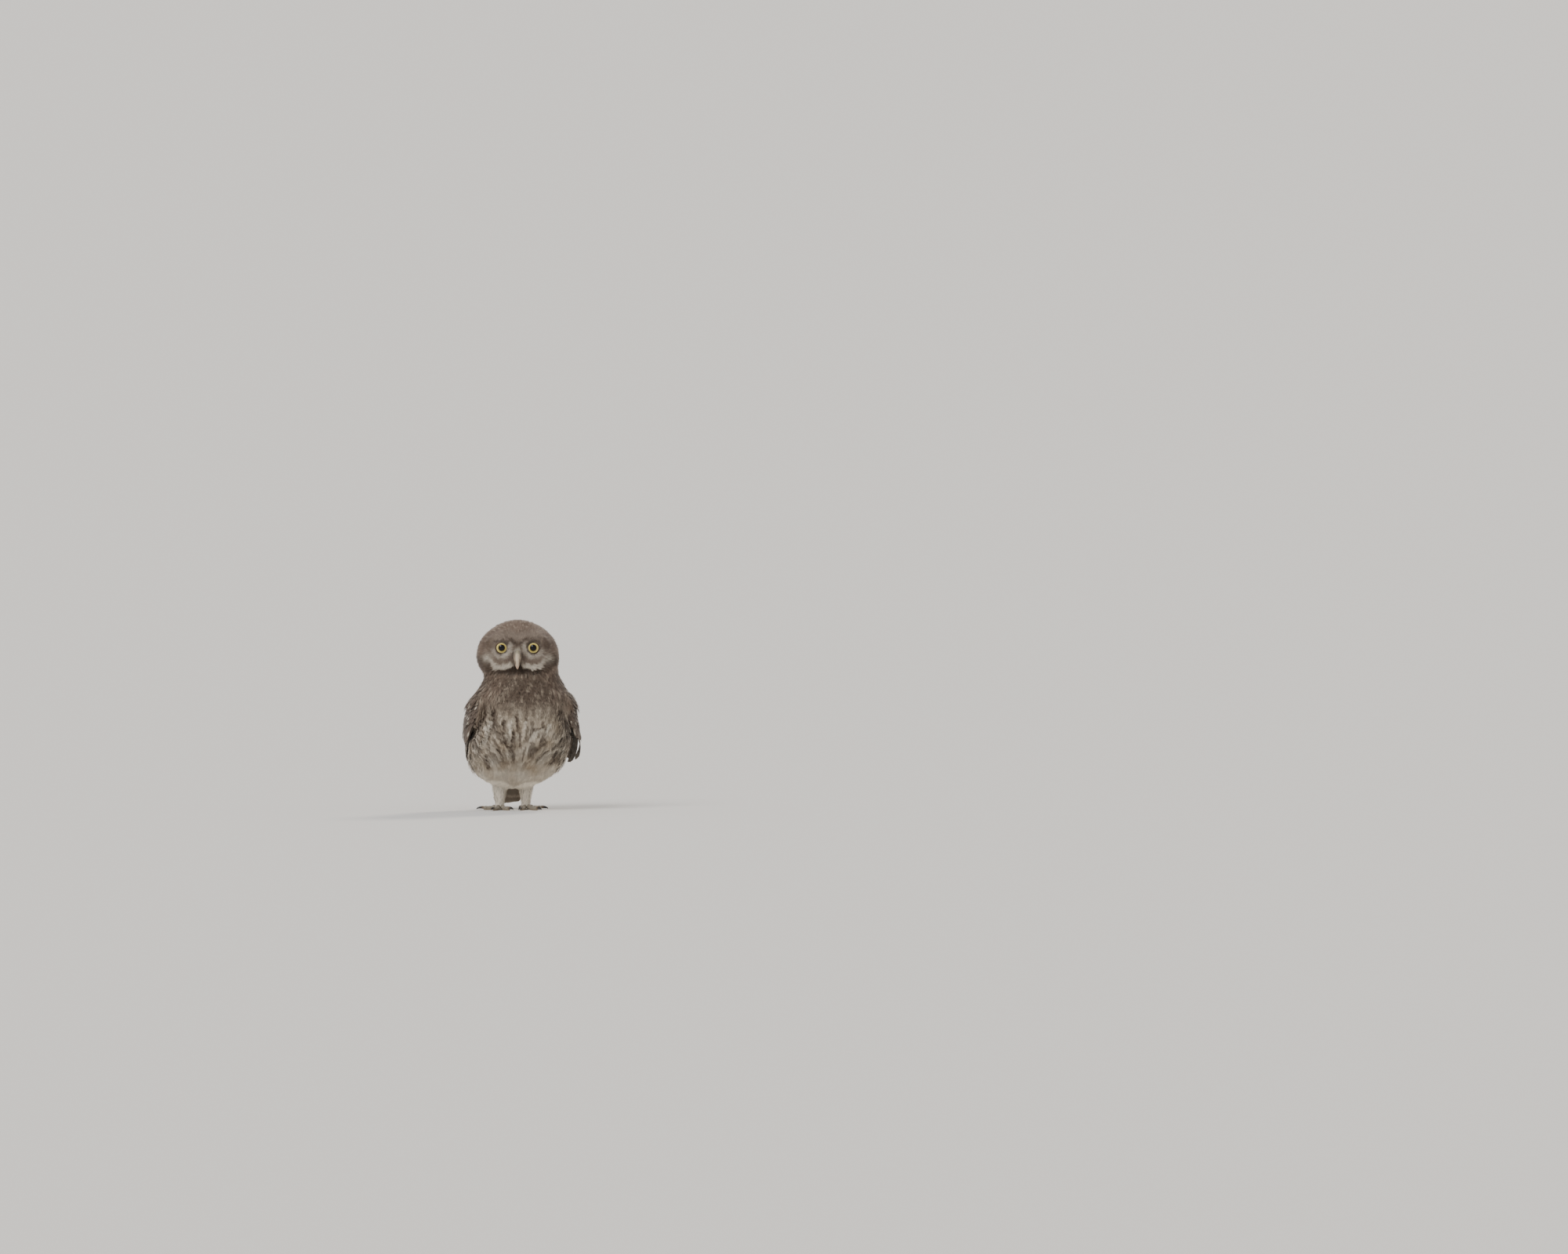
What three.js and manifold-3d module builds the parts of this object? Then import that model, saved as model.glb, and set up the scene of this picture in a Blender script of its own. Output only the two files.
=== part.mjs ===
// A life-size little owl fledgling, standing upright on both feet and looking straight ahead.
// Millimetres, +Z up. The owl faces -Y, its left side is at +X, and its feet stand on Z = 0.
// Every outline runs out to the tips of the plumage.
import * as THREE from "three";
import { mergeVertices } from "three/addons/utils/BufferGeometryUtils.js";
import Module from "manifold-3d";

const wasm = await Module();
wasm.setup();

const DEGREE = Math.PI / 180;

// Driving dimensions
const GAP = 0.3; // clearance between neighbouring pieces
const BODY_TURN = 9 * DEGREE; // trunk, wings, tail and feet turn to the owl's left, the face doesn't
const NECK_TOP = 143; // height where the head ends and the neck begins
const NECK_FOOT = 128; // height where the neck ends and the trunk begins
const EYE = { apart: 33, height: 170.6, radius: 7.4, depth: 21.4 };
const BILL = { root: 165.5, tip: 148, width: 9.4, reach: 37.5 };
const WING = { reach: 82, slope: 57, thickness: 6.2, edge: 0.9, sink: 2, wrapRadius: 52, cut: 77 };
const TAIL = { root: 62, tip: 4.5, halfWidth: 14, thickness: 5.5, edge: 0.9 };
const LEG = { apart: 27.6, sideways: -5.3, back: 3, knee: 44, heel: 27, ball: 5 };
const RUMP = { height: 60, swell: 6, halfWidth: 18, halfHeight: 17 };
const LEG_SIDES = 14;
const TOE_RADIUS = 2.5;
const CLAW_RADIUS = 1.65;

// Sections of head, neck and trunk from the belly to the crown:
// height, half width, depth in front of the axis, depth behind it, sideways shift, squareness.
const BODY_SECTIONS = [
  [23.5, 9, 4, 14, -3.3, 2.0],
  [27.5, 24, 12, 29, -3.3, 2.1],
  [35, 37.5, 22, 39, -3, 2.1],
  [43.5, 45.5, 30, 43.5, -2.4, 2.1],
  [52, 50, 36.5, 45.5, -1, 2.1],
  [64, 53.5, 42.5, 46, 1, 2.1],
  [78, 55.5, 46, 45.5, 2.6, 2.1],
  [93, 54, 46.5, 44, 3, 2.1],
  [108, 51.5, 43.5, 41.5, 3.8, 2.1],
  [119, 49, 39, 39, 4.3, 2.15],
  [128, 45.5, 34.5, 37, 4.8, 2.2],
  [136, 40.5, 30.4, 35.6, 4.8, 2.25],
  [143, 39.4, 28.9, 35.2, 3, 2.35],
  [151, 41.4, 29.4, 35.8, 0.8, 2.45],
  [160, 43, 29.8, 36.2, 0, 2.5],
  [170, 41.6, 29.4, 35.6, 0, 2.5],
  [180, 37, 27.2, 32.8, 0, 2.4],
  [188.5, 28.6, 20.8, 27, 0, 2.25],
  [194.6, 18.6, 12.6, 18.4, 0, 2.1],
  [198, 9, 6, 9.4, 0, 2.0],
];
const CROWN = 199;
const BELLY_FLOOR = 22.6;

// Colours of the plumage and the bare parts
const PLUMAGE = { color: 0x8c7c6c, roughness: 0.9, metalness: 0 };
const PALE_PLUMAGE = { color: 0xc9bda9, roughness: 0.9, metalness: 0 };
const FLIGHT_FEATHERS = { color: 0x5f4d3e, roughness: 0.75, metalness: 0 };
const IRIS = { color: 0xd8b84a, roughness: 0.08, metalness: 0 };
const HORN = { color: 0xb9aa7c, roughness: 0.4, metalness: 0 };
const CLAW_HORN = { color: 0x2c2724, roughness: 0.35, metalness: 0 };
const BARE_TOE = { color: 0x97897a, roughness: 0.8, metalness: 0 };

const smooth = (from, to, x) => THREE.MathUtils.smoothstep(x, from, to);
const mix = THREE.MathUtils.lerp;
const bell = (x, width) => Math.exp(-((x / width) ** 2));

// A smooth curve through equally spaced rows of numbers, at a place from 0 to rows - 1.
function along(rows, at) {
  const last = rows.length - 1;
  const k = Math.min(Math.max(Math.floor(at), 0), last - 1);
  const f = at - k;
  const before = rows[Math.max(k - 1, 0)];
  const after = rows[Math.min(k + 2, last)];
  return rows[k].map((a, i) => {
    const b = rows[k + 1][i];
    const slopeA = (b - before[i]) / 2;
    const slopeB = (after[i] - a) / 2;
    const bend = (2 * (a - b) + slopeA + slopeB) * f;
    return a + f * (slopeA + f * (3 * (b - a) - 2 * slopeA - slopeB + bend));
  });
}

// Numbers given at even steps, such as half widths from root to tip, read at 0 to 1.
const profile = (values, s) => along(values.map((v) => [v]), s * (values.length - 1))[0];

// The body section at a height, found by halving the range that holds it.
function sectionAt(height) {
  let low = 0;
  let high = BODY_SECTIONS.length - 1;
  for (let i = 0; i < 30; i++) {
    const middle = (low + high) / 2;
    if (along(BODY_SECTIONS, middle)[0] < height) low = middle;
    else high = middle;
  }
  return along(BODY_SECTIONS, low);
}

// Turns a point of the symmetric owl into the pose: the body turns, the head faces forward.
function posed(x, y, z) {
  const turn = BODY_TURN * (1 - smooth(NECK_FOOT - 8, NECK_TOP + 4, z));
  const shift = sectionAt(z)[4];
  return new THREE.Vector3(
    x * Math.cos(turn) - y * Math.sin(turn) + shift,
    x * Math.sin(turn) + y * Math.cos(turn),
    z,
  );
}

// Closed geometry from shared vertices and triangles.
function geometryOf(points, triangles) {
  const geometry = new THREE.BufferGeometry().setFromPoints(points);
  geometry.setIndex(triangles);
  return geometry;
}

// A closed skin over rings of points, each end closed by one point.
function ringsSolid(rings, first, last) {
  const count = rings[0].length;
  const points = [...rings.flat(), first, last];
  const firstEnd = rings.length * count;
  const triangles = [];
  for (let i = 0; i < count; i++) {
    const j = (i + 1) % count;
    triangles.push(firstEnd, j, i);
    for (let r = 0; r + 1 < rings.length; r++) {
      const a = r * count;
      const b = a + count;
      triangles.push(a + i, a + j, b + j, a + i, b + j, b + i);
    }
    const top = (rings.length - 1) * count;
    triangles.push(firstEnd + 1, top + i, top + j);
  }
  return geometryOf(points, triangles);
}

// A closed sheet between an outer and an inner surface, both functions of s and t on a grid.
function sheetSolid(sSteps, tSteps, outer, inner) {
  const row = tSteps + 1;
  const layer = (sSteps + 1) * row;
  const points = [];
  for (const surface of [outer, inner])
    for (let i = 0; i <= sSteps; i++)
      for (let j = 0; j <= tSteps; j++) points.push(surface(i / sSteps, (2 * j) / tSteps - 1));
  const triangles = [];
  const quad = (a, b, c, d) => triangles.push(a, b, c, a, c, d);
  for (let i = 0; i < sSteps; i++)
    for (let j = 0; j < tSteps; j++) {
      const a = i * row + j;
      quad(a, a + 1, a + row + 1, a + row);
      quad(layer + a, layer + a + row, layer + a + row + 1, layer + a + 1);
    }
  for (let i = 0; i < sSteps; i++) {
    const left = i * row;
    const right = left + tSteps;
    quad(left, left + row, layer + left + row, layer + left);
    quad(right + row, right, layer + right, layer + right + row);
  }
  for (let j = 0; j < tSteps; j++) {
    const end = sSteps * row + j;
    quad(j + 1, j, layer + j, layer + j + 1);
    quad(end, end + 1, layer + end + 1, layer + end);
  }
  return geometryOf(points, triangles);
}

// Geometry to a solid that can be cut and joined, and back.
function solid(geometry) {
  const bare = geometry.clone();
  bare.deleteAttribute("normal");
  bare.deleteAttribute("uv");
  const merged = mergeVertices(bare, 1e-4);
  const made = new wasm.Manifold(
    new wasm.Mesh({
      numProp: 3,
      vertProperties: new Float32Array(merged.attributes.position.array),
      triVerts: new Uint32Array(merged.index.array),
    }),
  );
  if (made.volume() > 0) return made;
  const triangles = [...merged.index.array];
  for (let i = 0; i < triangles.length; i += 3) {
    const second = triangles[i + 1];
    triangles[i + 1] = triangles[i + 2];
    triangles[i + 2] = second;
  }
  merged.setIndex(triangles);
  return solid(merged);
}

function geometryFrom(piece) {
  const mesh = piece.getMesh();
  const geometry = new THREE.BufferGeometry();
  geometry.setAttribute("position", new THREE.BufferAttribute(mesh.vertProperties, 3));
  geometry.setIndex(new THREE.BufferAttribute(mesh.triVerts, 1));
  geometry.computeVertexNormals();
  return geometry;
}

function meshOf(name, geometry, finish) {
  const mesh = new THREE.Mesh(geometry, new THREE.MeshStandardMaterial(finish));
  mesh.name = name;
  return mesh;
}

// A box solid between two heights, wide enough to cut right through the owl.
function slab(low, high) {
  const span = 400;
  const box = new THREE.BoxGeometry(span, span, high - low);
  return solid(box.translate(0, 0, (low + high) / 2));
}

// How far the face is pressed in (+) or stands out (-) at a place on its front: a dish round each
// eye, frowning brows that meet over the bill, the bridge between the eyes, and full cheeks.
function faceRelief(x, z) {
  const side = Math.abs(x) - EYE.apart / 2;
  const up = z - EYE.height;
  const dish = 2.4 * bell(Math.hypot(side - 0.5, up + 3), 12);
  const brow = -3.6 * bell(up - 9.5 - 0.2 * side, 4.2) * bell(side - 1, 16);
  const bridge = -2.6 * bell(x, 5.5) * bell(up + 4, 11);
  const toRim = Math.hypot(side + 2, up + 2) - 21;
  const cheek = -2.8 * bell(toRim, 4.5) * smooth(6, -8, up) * smooth(-2, 8, side + 6);
  return dish + brow + bridge + cheek;
}

// Where a section of the body passes at an angle round it: 0 is the left side, a quarter turn
// further is the back. The shapes of face and rump stand out from a plain rounded section.
function surfaceAt([z, half, front, back, , squareness], angle) {
  const cosine = Math.cos(angle);
  const sine = Math.sin(angle);
  const power = 2 / (sine < 0 ? squareness : Math.min(squareness, 2.15));
  const x = half * Math.sign(cosine) * Math.abs(cosine) ** power;
  let y = (sine < 0 ? front : back) * Math.sign(sine) * Math.abs(sine) ** power;
  const onFace = smooth(0.25, 0.75, -sine) * smooth(NECK_TOP - 1, NECK_TOP + 8, z);
  y += onFace * faceRelief(x, z);
  const behind = smooth(0, 0.6, sine);
  y += behind * RUMP.swell * bell(x, RUMP.halfWidth) * bell(z - RUMP.height, RUMP.halfHeight);
  return { x, y };
}

// Head, neck and trunk as one closed skin, with more vertices on the face than behind it.
function wholeBody(grow) {
  const around = 38;
  const ringsOfTrunk = 15;
  const ringsOfHead = 17;
  const lastSection = BODY_SECTIONS.length - 1;
  const neckSection = 11;
  const rings = [];
  for (let r = 0; r <= ringsOfTrunk + ringsOfHead; r++) {
    const inHead = (r - ringsOfTrunk) / ringsOfHead;
    const inTrunk = r / ringsOfTrunk;
    const at = inHead > 0 ? mix(neckSection, lastSection, inHead) : mix(0, neckSection, inTrunk);
    const section = along(BODY_SECTIONS, at);
    for (const size of [1, 2, 3]) section[size] += grow;
    const ring = [];
    for (let i = 0; i < around; i++) {
      const even = (i / around) * 2 * Math.PI;
      const { x, y } = surfaceAt(section, even - 0.25 * Math.cos(even));
      ring.push(posed(x, y, section[0]));
    }
    rings.push(ring);
  }
  return solid(ringsSolid(rings, posed(0, 2, BELLY_FLOOR - grow), posed(0, 1, CROWN + grow)));
}

// The wing lies on the flank from the wrist, beside the breast, to the tip. Its leading edge runs
// down and back, and its trailing part wraps round the back. q is the distance round the body
// from straight sideways towards the back, and splay is how far the tip stands off the flank.
function wingShape(side, droop, splay) {
  const wrist = new THREE.Vector2(-27, 121);
  const slope = (WING.slope + droop) * DEGREE;
  const axis = new THREE.Vector2(Math.cos(slope), -Math.sin(slope));
  const forward = new THREE.Vector2(axis.y, -axis.x);
  const leading = [4, 12, 14.5, 15.5, 14.5, 12, 8, 1.2];
  const trailing = [16, 50, 62, 60, 52, 40, 24, 1.2];
  const swell = [0.15, 0.75, 1, 0.95, 0.7, 0.42, 0.2, 0.05];
  const place = (s, t, lift) => {
    const ahead = Math.max(-t, 0) * profile(leading, s);
    const behind = Math.max(t, 0) * profile(trailing, s);
    const q = wrist.x + axis.x * WING.reach * s + forward.x * ahead + behind;
    const z = wrist.y + axis.y * WING.reach * s + forward.y * ahead;
    const angle = q / WING.wrapRadius;
    const section = sectionAt(z);
    const flank = surfaceAt(section, angle);
    const [, half, front, back] = section;
    const outward = new THREE.Vector2(Math.cos(angle) / half, Math.sin(angle) / (q < 0 ? front : back));
    outward.setLength(lift + splay * smooth(0.35, 1, s));
    return posed(side * (flank.x + outward.x), flank.y + outward.y, z);
  };
  const crest = (t) => 1 - Math.abs(t) ** 2.4;
  const rim = (s) => GAP + mix(2.2, WING.edge, smooth(0, 0.3, s));
  const outer = (s, t) => place(s, t, rim(s) + WING.thickness * profile(swell, s) * crest(t));
  const inner = (s, t) => place(s, t, mix(-WING.sink, GAP, smooth(0.4, 0.7, s)));
  return solid(sheetSolid(12, 8, outer, inner));
}

// The tail hangs from the rump, a fan of feathers a little wider at its end.
function tailShape(grow) {
  const halfWidths = [10, 12, 13, 13.6, 14, 11];
  const place = (s, t, lift) => {
    const half = profile(halfWidths, s) * (TAIL.halfWidth / 14) + grow;
    const hollow = 2.5 * t * t;
    const rounded = 3 * t * t * smooth(0.6, 1, s);
    const z = mix(TAIL.root + grow, TAIL.tip - grow, s) + rounded;
    const y = mix(45, 58.5, s ** 0.8) - hollow + lift;
    return posed(t * half, y, z);
  };
  const thick = (s, t) =>
    TAIL.edge + (TAIL.thickness - TAIL.edge) * (1 - s) ** 1.5 * (1 - 0.6 * t * t);
  const outer = (s, t) => place(s, t, thick(s, t) / 2 + grow);
  const inner = (s, t) => place(s, t, -thick(s, t) / 2 - grow);
  return solid(sheetSolid(9, 6, outer, inner));
}

// A round limb of stations [height, radius], upright at a place on the floor.
function limb(x, y, stations, around, grow = 0) {
  const rings = stations.map(([z, radius]) =>
    Array.from({ length: around }, (_, i) => {
      const angle = (i / around) * 2 * Math.PI;
      const reach = radius + grow;
      return new THREE.Vector3(x + reach * Math.cos(angle), y + reach * Math.sin(angle), z);
    }),
  );
  const low = stations[0][0] - grow;
  const high = stations[stations.length - 1][0] + grow;
  const ends = [new THREE.Vector3(x, y, low), new THREE.Vector3(x, y, high)];
  return solid(ringsSolid(rings, ends[0], ends[1]));
}

function legPlace(side) {
  return posed((side * LEG.apart) / 2, LEG.back, LEG.heel).setX(
    LEG.sideways + ((side * LEG.apart) / 2) * Math.cos(BODY_TURN),
  );
}

const thighStations = [
  [LEG.heel, 8.4],
  [LEG.heel + 4, 9.3],
  [LEG.heel + 9, 10.2],
  [LEG.knee - 4, 10],
  [LEG.knee, 7],
];
const tarsusStations = [
  [0, 2.6],
  [1.2, LEG.ball - 0.9],
  [3.6, LEG.ball - 0.2],
  [7, LEG.ball - 0.1],
  [13, 5.9],
  [19, 7.2],
  [24, 8],
  [LEG.heel - GAP, 8.3],
];

// A tapering round rod along a path, its underside flattened where it meets the floor.
function rod(path, radii, around, steps) {
  const rings = [];
  for (let k = 0; k <= steps; k++) {
    const s = k / steps;
    const centre = path(s);
    const ahead = path(s + 0.01).sub(path(s - 0.01)).normalize();
    const sideways = new THREE.Vector3(1, 0, 0);
    const upward = new THREE.Vector3().crossVectors(sideways, ahead).normalize();
    const radius = profile(radii, s);
    const ring = Array.from({ length: around }, (_, i) => {
      const angle = (i / around) * 2 * Math.PI;
      const point = centre.clone().addScaledVector(sideways, radius * Math.cos(angle));
      point.addScaledVector(upward, radius * Math.sin(angle));
      return point.setZ(Math.max(point.z, 0));
    });
    rings.push(ring);
  }
  return ringsSolid(rings, path(0), path(1));
}

// A toe points along -Y from the ball of the foot, with a swelling at each joint.
function toeShape(length, joints) {
  const start = LEG.ball - 1.4;
  const path = (s) =>
    new THREE.Vector3(0, -mix(start, length, s), 1.9 + 1.5 * (1 - smooth(0, 0.45, s)));
  const radii = [0.82];
  for (let j = 1; j <= joints; j++) radii.push(0.86, 1.04);
  radii.push(0.8);
  const toe = solid(rod(path, radii.map((r) => r * TOE_RADIUS), 8, 2 * joints + 2));
  const ball = limb(0, 0, tarsusStations, LEG_SIDES, GAP);
  return toe.subtract(ball);
}

// A claw leaves the toe's end, arches over and comes down to just above the floor.
function clawShape(length, reach) {
  const rise = 2.4;
  const path = (s) =>
    new THREE.Vector3(0, -(length + GAP + 0.05 + reach * Math.sin(s * 1.5)), rise + 1.3 * s - 3.1 * s * s);
  const radii = [1, 0.94, 0.8, 0.6, 0.34, 0.1].map((r) => r * CLAW_RADIUS);
  return solid(rod(path, radii, 7, 5));
}

// Each toe: its name, length without the claw, joints, claw reach and heading for the left foot.
const TOES = [
  ["inner", 18, 2, 7.6, -25],
  ["middle", 21, 3, 7.8, 26],
  ["outer", 17, 3, 6.8, 98],
  ["hind", 13, 1, 6.4, -166],
];

function foot(sideName, side) {
  const group = new THREE.Group();
  const place = legPlace(side);
  group.position.set(place.x, place.y, 0);
  group.rotation.z = BODY_TURN;
  for (const [name, length, joints, reach, heading] of TOES) {
    const toe = meshOf(`toe_${name}_${sideName}`, geometryFrom(toeShape(length, joints)), BARE_TOE);
    const claw = meshOf(`claw_${name}_${sideName}`, geometryFrom(clawShape(length, reach)), CLAW_HORN);
    for (const piece of [toe, claw]) piece.rotation.z = side * heading * DEGREE;
    group.add(toe, claw);
  }
  return group;
}

function eyeball(side, grow) {
  const sphere = new THREE.SphereGeometry(EYE.radius + grow, 14, 9);
  sphere.rotateX(Math.PI / 2);
  return solid(sphere.translate((side * EYE.apart) / 2, -EYE.depth, EYE.height));
}

// The upper bill: from its root between the eyes it bends forward, down and into a hook.
function upperBill(grow) {
  const path = (s) => {
    const bend = s * 1.45;
    const y = mix(25, BILL.reach, Math.sin(bend) ** 0.9) - 0.8 * smooth(0.8, 1, s);
    const z = BILL.root - (BILL.root - BILL.tip) * s ** 1.25;
    return new THREE.Vector3(0, -y, z);
  };
  const halfWidths = [1, 1, 0.9, 0.72, 0.48, 0.1].map((w) => (w * BILL.width) / 2);
  const heights = [1, 1, 0.92, 0.74, 0.5, 0.12].map((h) => h * 4.2);
  const steps = 9;
  const around = 12;
  const rings = [];
  for (let k = 0; k <= steps; k++) {
    const s = k / steps;
    const centre = path(s);
    const ahead = path(s + 0.02).sub(path(Math.max(s - 0.02, 0.001))).normalize();
    const upward = new THREE.Vector3(1, 0, 0).cross(ahead).normalize();
    const ring = Array.from({ length: around }, (_, i) => {
      const angle = (i / around) * 2 * Math.PI;
      const wide = (profile(halfWidths, s) + grow) * Math.cos(angle);
      const tall = (profile(heights, s) + grow) * Math.sin(angle);
      return centre.clone().add(new THREE.Vector3(wide, 0, 0)).addScaledVector(upward, tall);
    });
    rings.push(ring);
  }
  return solid(ringsSolid(rings, path(0), path(1)));
}

// The lower bill, short and tucked in under the hook.
function lowerBill(grow) {
  const path = (s) => new THREE.Vector3(0, -mix(24, 34.2, s), mix(154.5, 151.2, s ** 1.3));
  const halfWidths = [1, 0.95, 0.75, 0.35].map((w) => w * 3.5);
  const rings = [];
  const steps = 4;
  const around = 10;
  for (let k = 0; k <= steps; k++) {
    const s = k / steps;
    rings.push(
      Array.from({ length: around }, (_, i) => {
        const angle = (i / around) * 2 * Math.PI;
        const wide = (profile(halfWidths, s) + grow) * Math.cos(angle);
        const tall = (mix(2, 1, s) + grow) * Math.sin(angle);
        return path(s).add(new THREE.Vector3(wide, 0, tall));
      }),
    );
  }
  return solid(ringsSolid(rings, path(0), path(1)));
}

function buildOwl() {
  const owl = new THREE.Group();
  const add = (name, piece, finish) => owl.add(meshOf(name, geometryFrom(piece), finish));

  let body = wholeBody(0);
  const grownBody = wholeBody(GAP);
  for (const side of [-1, 1]) body = body.subtract(eyeball(side, GAP));
  body = body.subtract(upperBill(GAP)).subtract(lowerBill(GAP)).subtract(tailShape(GAP));
  for (const [name, side] of [["left", 1], ["right", -1]]) {
    const { x, y } = legPlace(side);
    for (const part of [thighStations, tarsusStations])
      body = body.subtract(limb(x, y, part, LEG_SIDES, GAP));
    add(`thigh_${name}`, limb(x, y, thighStations, LEG_SIDES), PALE_PLUMAGE);
    add(`tarsus_${name}`, limb(x, y, tarsusStations, LEG_SIDES), PALE_PLUMAGE);
    add(`eye_${name}`, eyeball(side, 0), IRIS);
    owl.add(foot(name, side));
  }
  add("head", body.intersect(slab(NECK_TOP, CROWN + 10)), PLUMAGE);
  add("neck", body.intersect(slab(NECK_FOOT, NECK_TOP - GAP)), PLUMAGE);
  add("trunk", body.intersect(slab(0, NECK_FOOT - GAP)), PLUMAGE);
  add("bill_upper", upperBill(0), HORN);
  add("bill_lower", lowerBill(0).subtract(upperBill(GAP)), HORN);
  add("tail", tailShape(0), FLIGHT_FEATHERS);

  // The left wing's tip stands off the flank, the right wing is folded close.
  for (const [name, side, droop, splay] of [["left", 1, 4, 15], ["right", -1, 4, 4]]) {
    const wing = wingShape(side, droop, splay).subtract(grownBody).subtract(tailShape(GAP));
    add(`wing_${name}`, wing.intersect(slab(WING.cut, NECK_TOP)), PLUMAGE);
    add(`primaries_${name}`, wing.intersect(slab(0, WING.cut - GAP)), FLIGHT_FEATHERS);
  }

  // The origin is the middle of the footprint of the whole owl, on the floor.
  const box = new THREE.Box3().setFromObject(owl);
  const middle = box.getCenter(new THREE.Vector3());
  owl.position.set(-middle.x, -middle.y, 0);
  return owl;
}

export default buildOwl();
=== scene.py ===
"""A life-size little owl fledgling, standing: skin, feathers, eyes, bill and claws round its solids."""

import math

import bmesh
import bpy
import numpy as np
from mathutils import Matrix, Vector
from mathutils.bvhtree import BVHTree


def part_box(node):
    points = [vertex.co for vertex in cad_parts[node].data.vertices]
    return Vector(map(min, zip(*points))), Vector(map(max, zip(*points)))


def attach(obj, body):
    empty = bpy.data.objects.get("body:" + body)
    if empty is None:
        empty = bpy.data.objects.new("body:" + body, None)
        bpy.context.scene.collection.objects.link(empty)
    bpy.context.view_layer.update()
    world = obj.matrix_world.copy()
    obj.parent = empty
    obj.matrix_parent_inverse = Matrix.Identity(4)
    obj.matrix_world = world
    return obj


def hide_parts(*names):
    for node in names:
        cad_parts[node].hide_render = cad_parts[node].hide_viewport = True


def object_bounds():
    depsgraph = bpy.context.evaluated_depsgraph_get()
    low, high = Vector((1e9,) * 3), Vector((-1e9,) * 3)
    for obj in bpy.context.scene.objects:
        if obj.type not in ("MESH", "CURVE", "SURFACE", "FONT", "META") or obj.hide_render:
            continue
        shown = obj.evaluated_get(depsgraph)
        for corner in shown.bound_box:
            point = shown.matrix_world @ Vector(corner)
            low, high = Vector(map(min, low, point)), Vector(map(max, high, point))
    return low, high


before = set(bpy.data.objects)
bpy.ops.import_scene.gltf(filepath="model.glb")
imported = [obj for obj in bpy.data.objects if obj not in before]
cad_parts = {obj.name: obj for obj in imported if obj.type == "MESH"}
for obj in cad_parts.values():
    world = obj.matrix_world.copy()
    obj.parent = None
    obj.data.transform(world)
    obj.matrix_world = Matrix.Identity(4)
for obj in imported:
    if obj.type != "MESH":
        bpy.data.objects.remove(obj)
solid_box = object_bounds()

# Lengths below are millimetres in the owl's own space: X to its left, -Y ahead, Z up from the
# floor, with the neck's axis at X = Y = 0. The eyeballs of the frame say where that is.
MM = 0.001
EYE_FORWARD = 21.4  # from the neck's axis to the middle of each eyeball
BODY_TURN = math.radians(9)  # the trunk turns to the owl's left, the face doesn't
NECK_FOOT = 128
NECK_TOP = 143
SWAY_HEIGHTS = [27, 45, 64, 90, 108, 119, 128, 136, 143, 151, 160]
SWAY = [-3.3, -2.3, 1, 3, 3.8, 4.3, 4.8, 4.8, 3, 0.8, 0]  # the body's middle, to the left of the head's
HEAD_MIDDLE = 158  # its height
WING_WRAP = 52  # a millimetre round the wing is 1 / 52 of a radian round the body
BODY_WRAP = 48  # the same for the streaks of breast and belly
SIDES = {"left": 1, "right": -1}
TOES = ("inner", "middle", "outer", "hind")


def box_middle(node):
    low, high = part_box(node)
    return np.array((low + high) / 2)


eye_middles = {side: box_middle(f"eye_{side}") for side in SIDES}
AXIS = sum(eye_middles.values()) / 2 * np.array([1, 1, 0]) + np.array([0, EYE_FORWARD * MM, 0])


def to_owl(points):
    return (np.asarray(points, float) - AXIS) / MM


def to_frame(points):
    return np.asarray(points, float) * MM + AXIS


EYES = {side: to_owl(middle) for side, middle in eye_middles.items()}
EYE_APART = abs(EYES["left"][0] - EYES["right"][0])
EYE_HEIGHT = EYES["left"][2]
EYE_RADIUS = 7.0
CORNEA_RISE = 0.7


# Colours are written as they look on a screen and worked with as light.
def light_of(red, green, blue):
    screen = np.array([red, green, blue]) / 255
    return np.where(screen < 0.04045, screen / 12.92, ((screen + 0.055) / 1.055) ** 2.4)


CROWN_BROWN = light_of(124, 107, 94)
FACE_GREY = light_of(150, 136, 122)
DARK_BROWN = light_of(78, 62, 50)
DUSKY_BROWN = light_of(106, 89, 76)
PALE_BUFF = light_of(190, 176, 156)
OFF_WHITE = light_of(222, 213, 197)
STREAK_BROWN = light_of(70, 54, 42)
WING_BROWN = light_of(92, 75, 60)
SPOT_WHITE = light_of(210, 200, 182)
DOWN_GREY = light_of(112, 104, 98)
LID_DARK = light_of(38, 32, 30)
TOE_GREY = light_of(150, 140, 124)
PAD_BUFF = light_of(176, 152, 118)
BILL_PALE = light_of(184, 166, 142)
BILL_SIDE = light_of(136, 121, 104)
BILL_HOOK = light_of(192, 162, 138)
BILL_UNDER_ROOT = light_of(142, 130, 112)
BILL_UNDER_TIP = light_of(172, 152, 130)
CERE_TOP = light_of(104, 96, 84)
CERE_FOOT = light_of(136, 128, 108)
CLAW_ROOT = light_of(112, 96, 78)
CLAW_TIP = light_of(34, 29, 27)
FLOOR_GREY = light_of(222, 219, 214)
SKY_GREY = light_of(226, 226, 228)


# Small numeric helpers

def smooth(low, high, value):
    t = np.clip((value - low) / (high - low), 0, 1)
    return t * t * (3 - 2 * t)


def angles_round(count):
    return np.arange(count) / count * 2 * math.pi


def bell(value, width):
    return np.exp(-((value / width) ** 2))


def blend(first, second, share):
    share = np.asarray(share)
    if np.ndim(first) and np.shape(first)[-1] == 3 and share.ndim and share.shape[-1] != 3:
        share = share[..., None]
    return first + (second - first) * share


def unit(vectors):
    lengths = np.linalg.norm(vectors, axis=-1, keepdims=True)
    return vectors / np.maximum(lengths, 1e-9)


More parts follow.
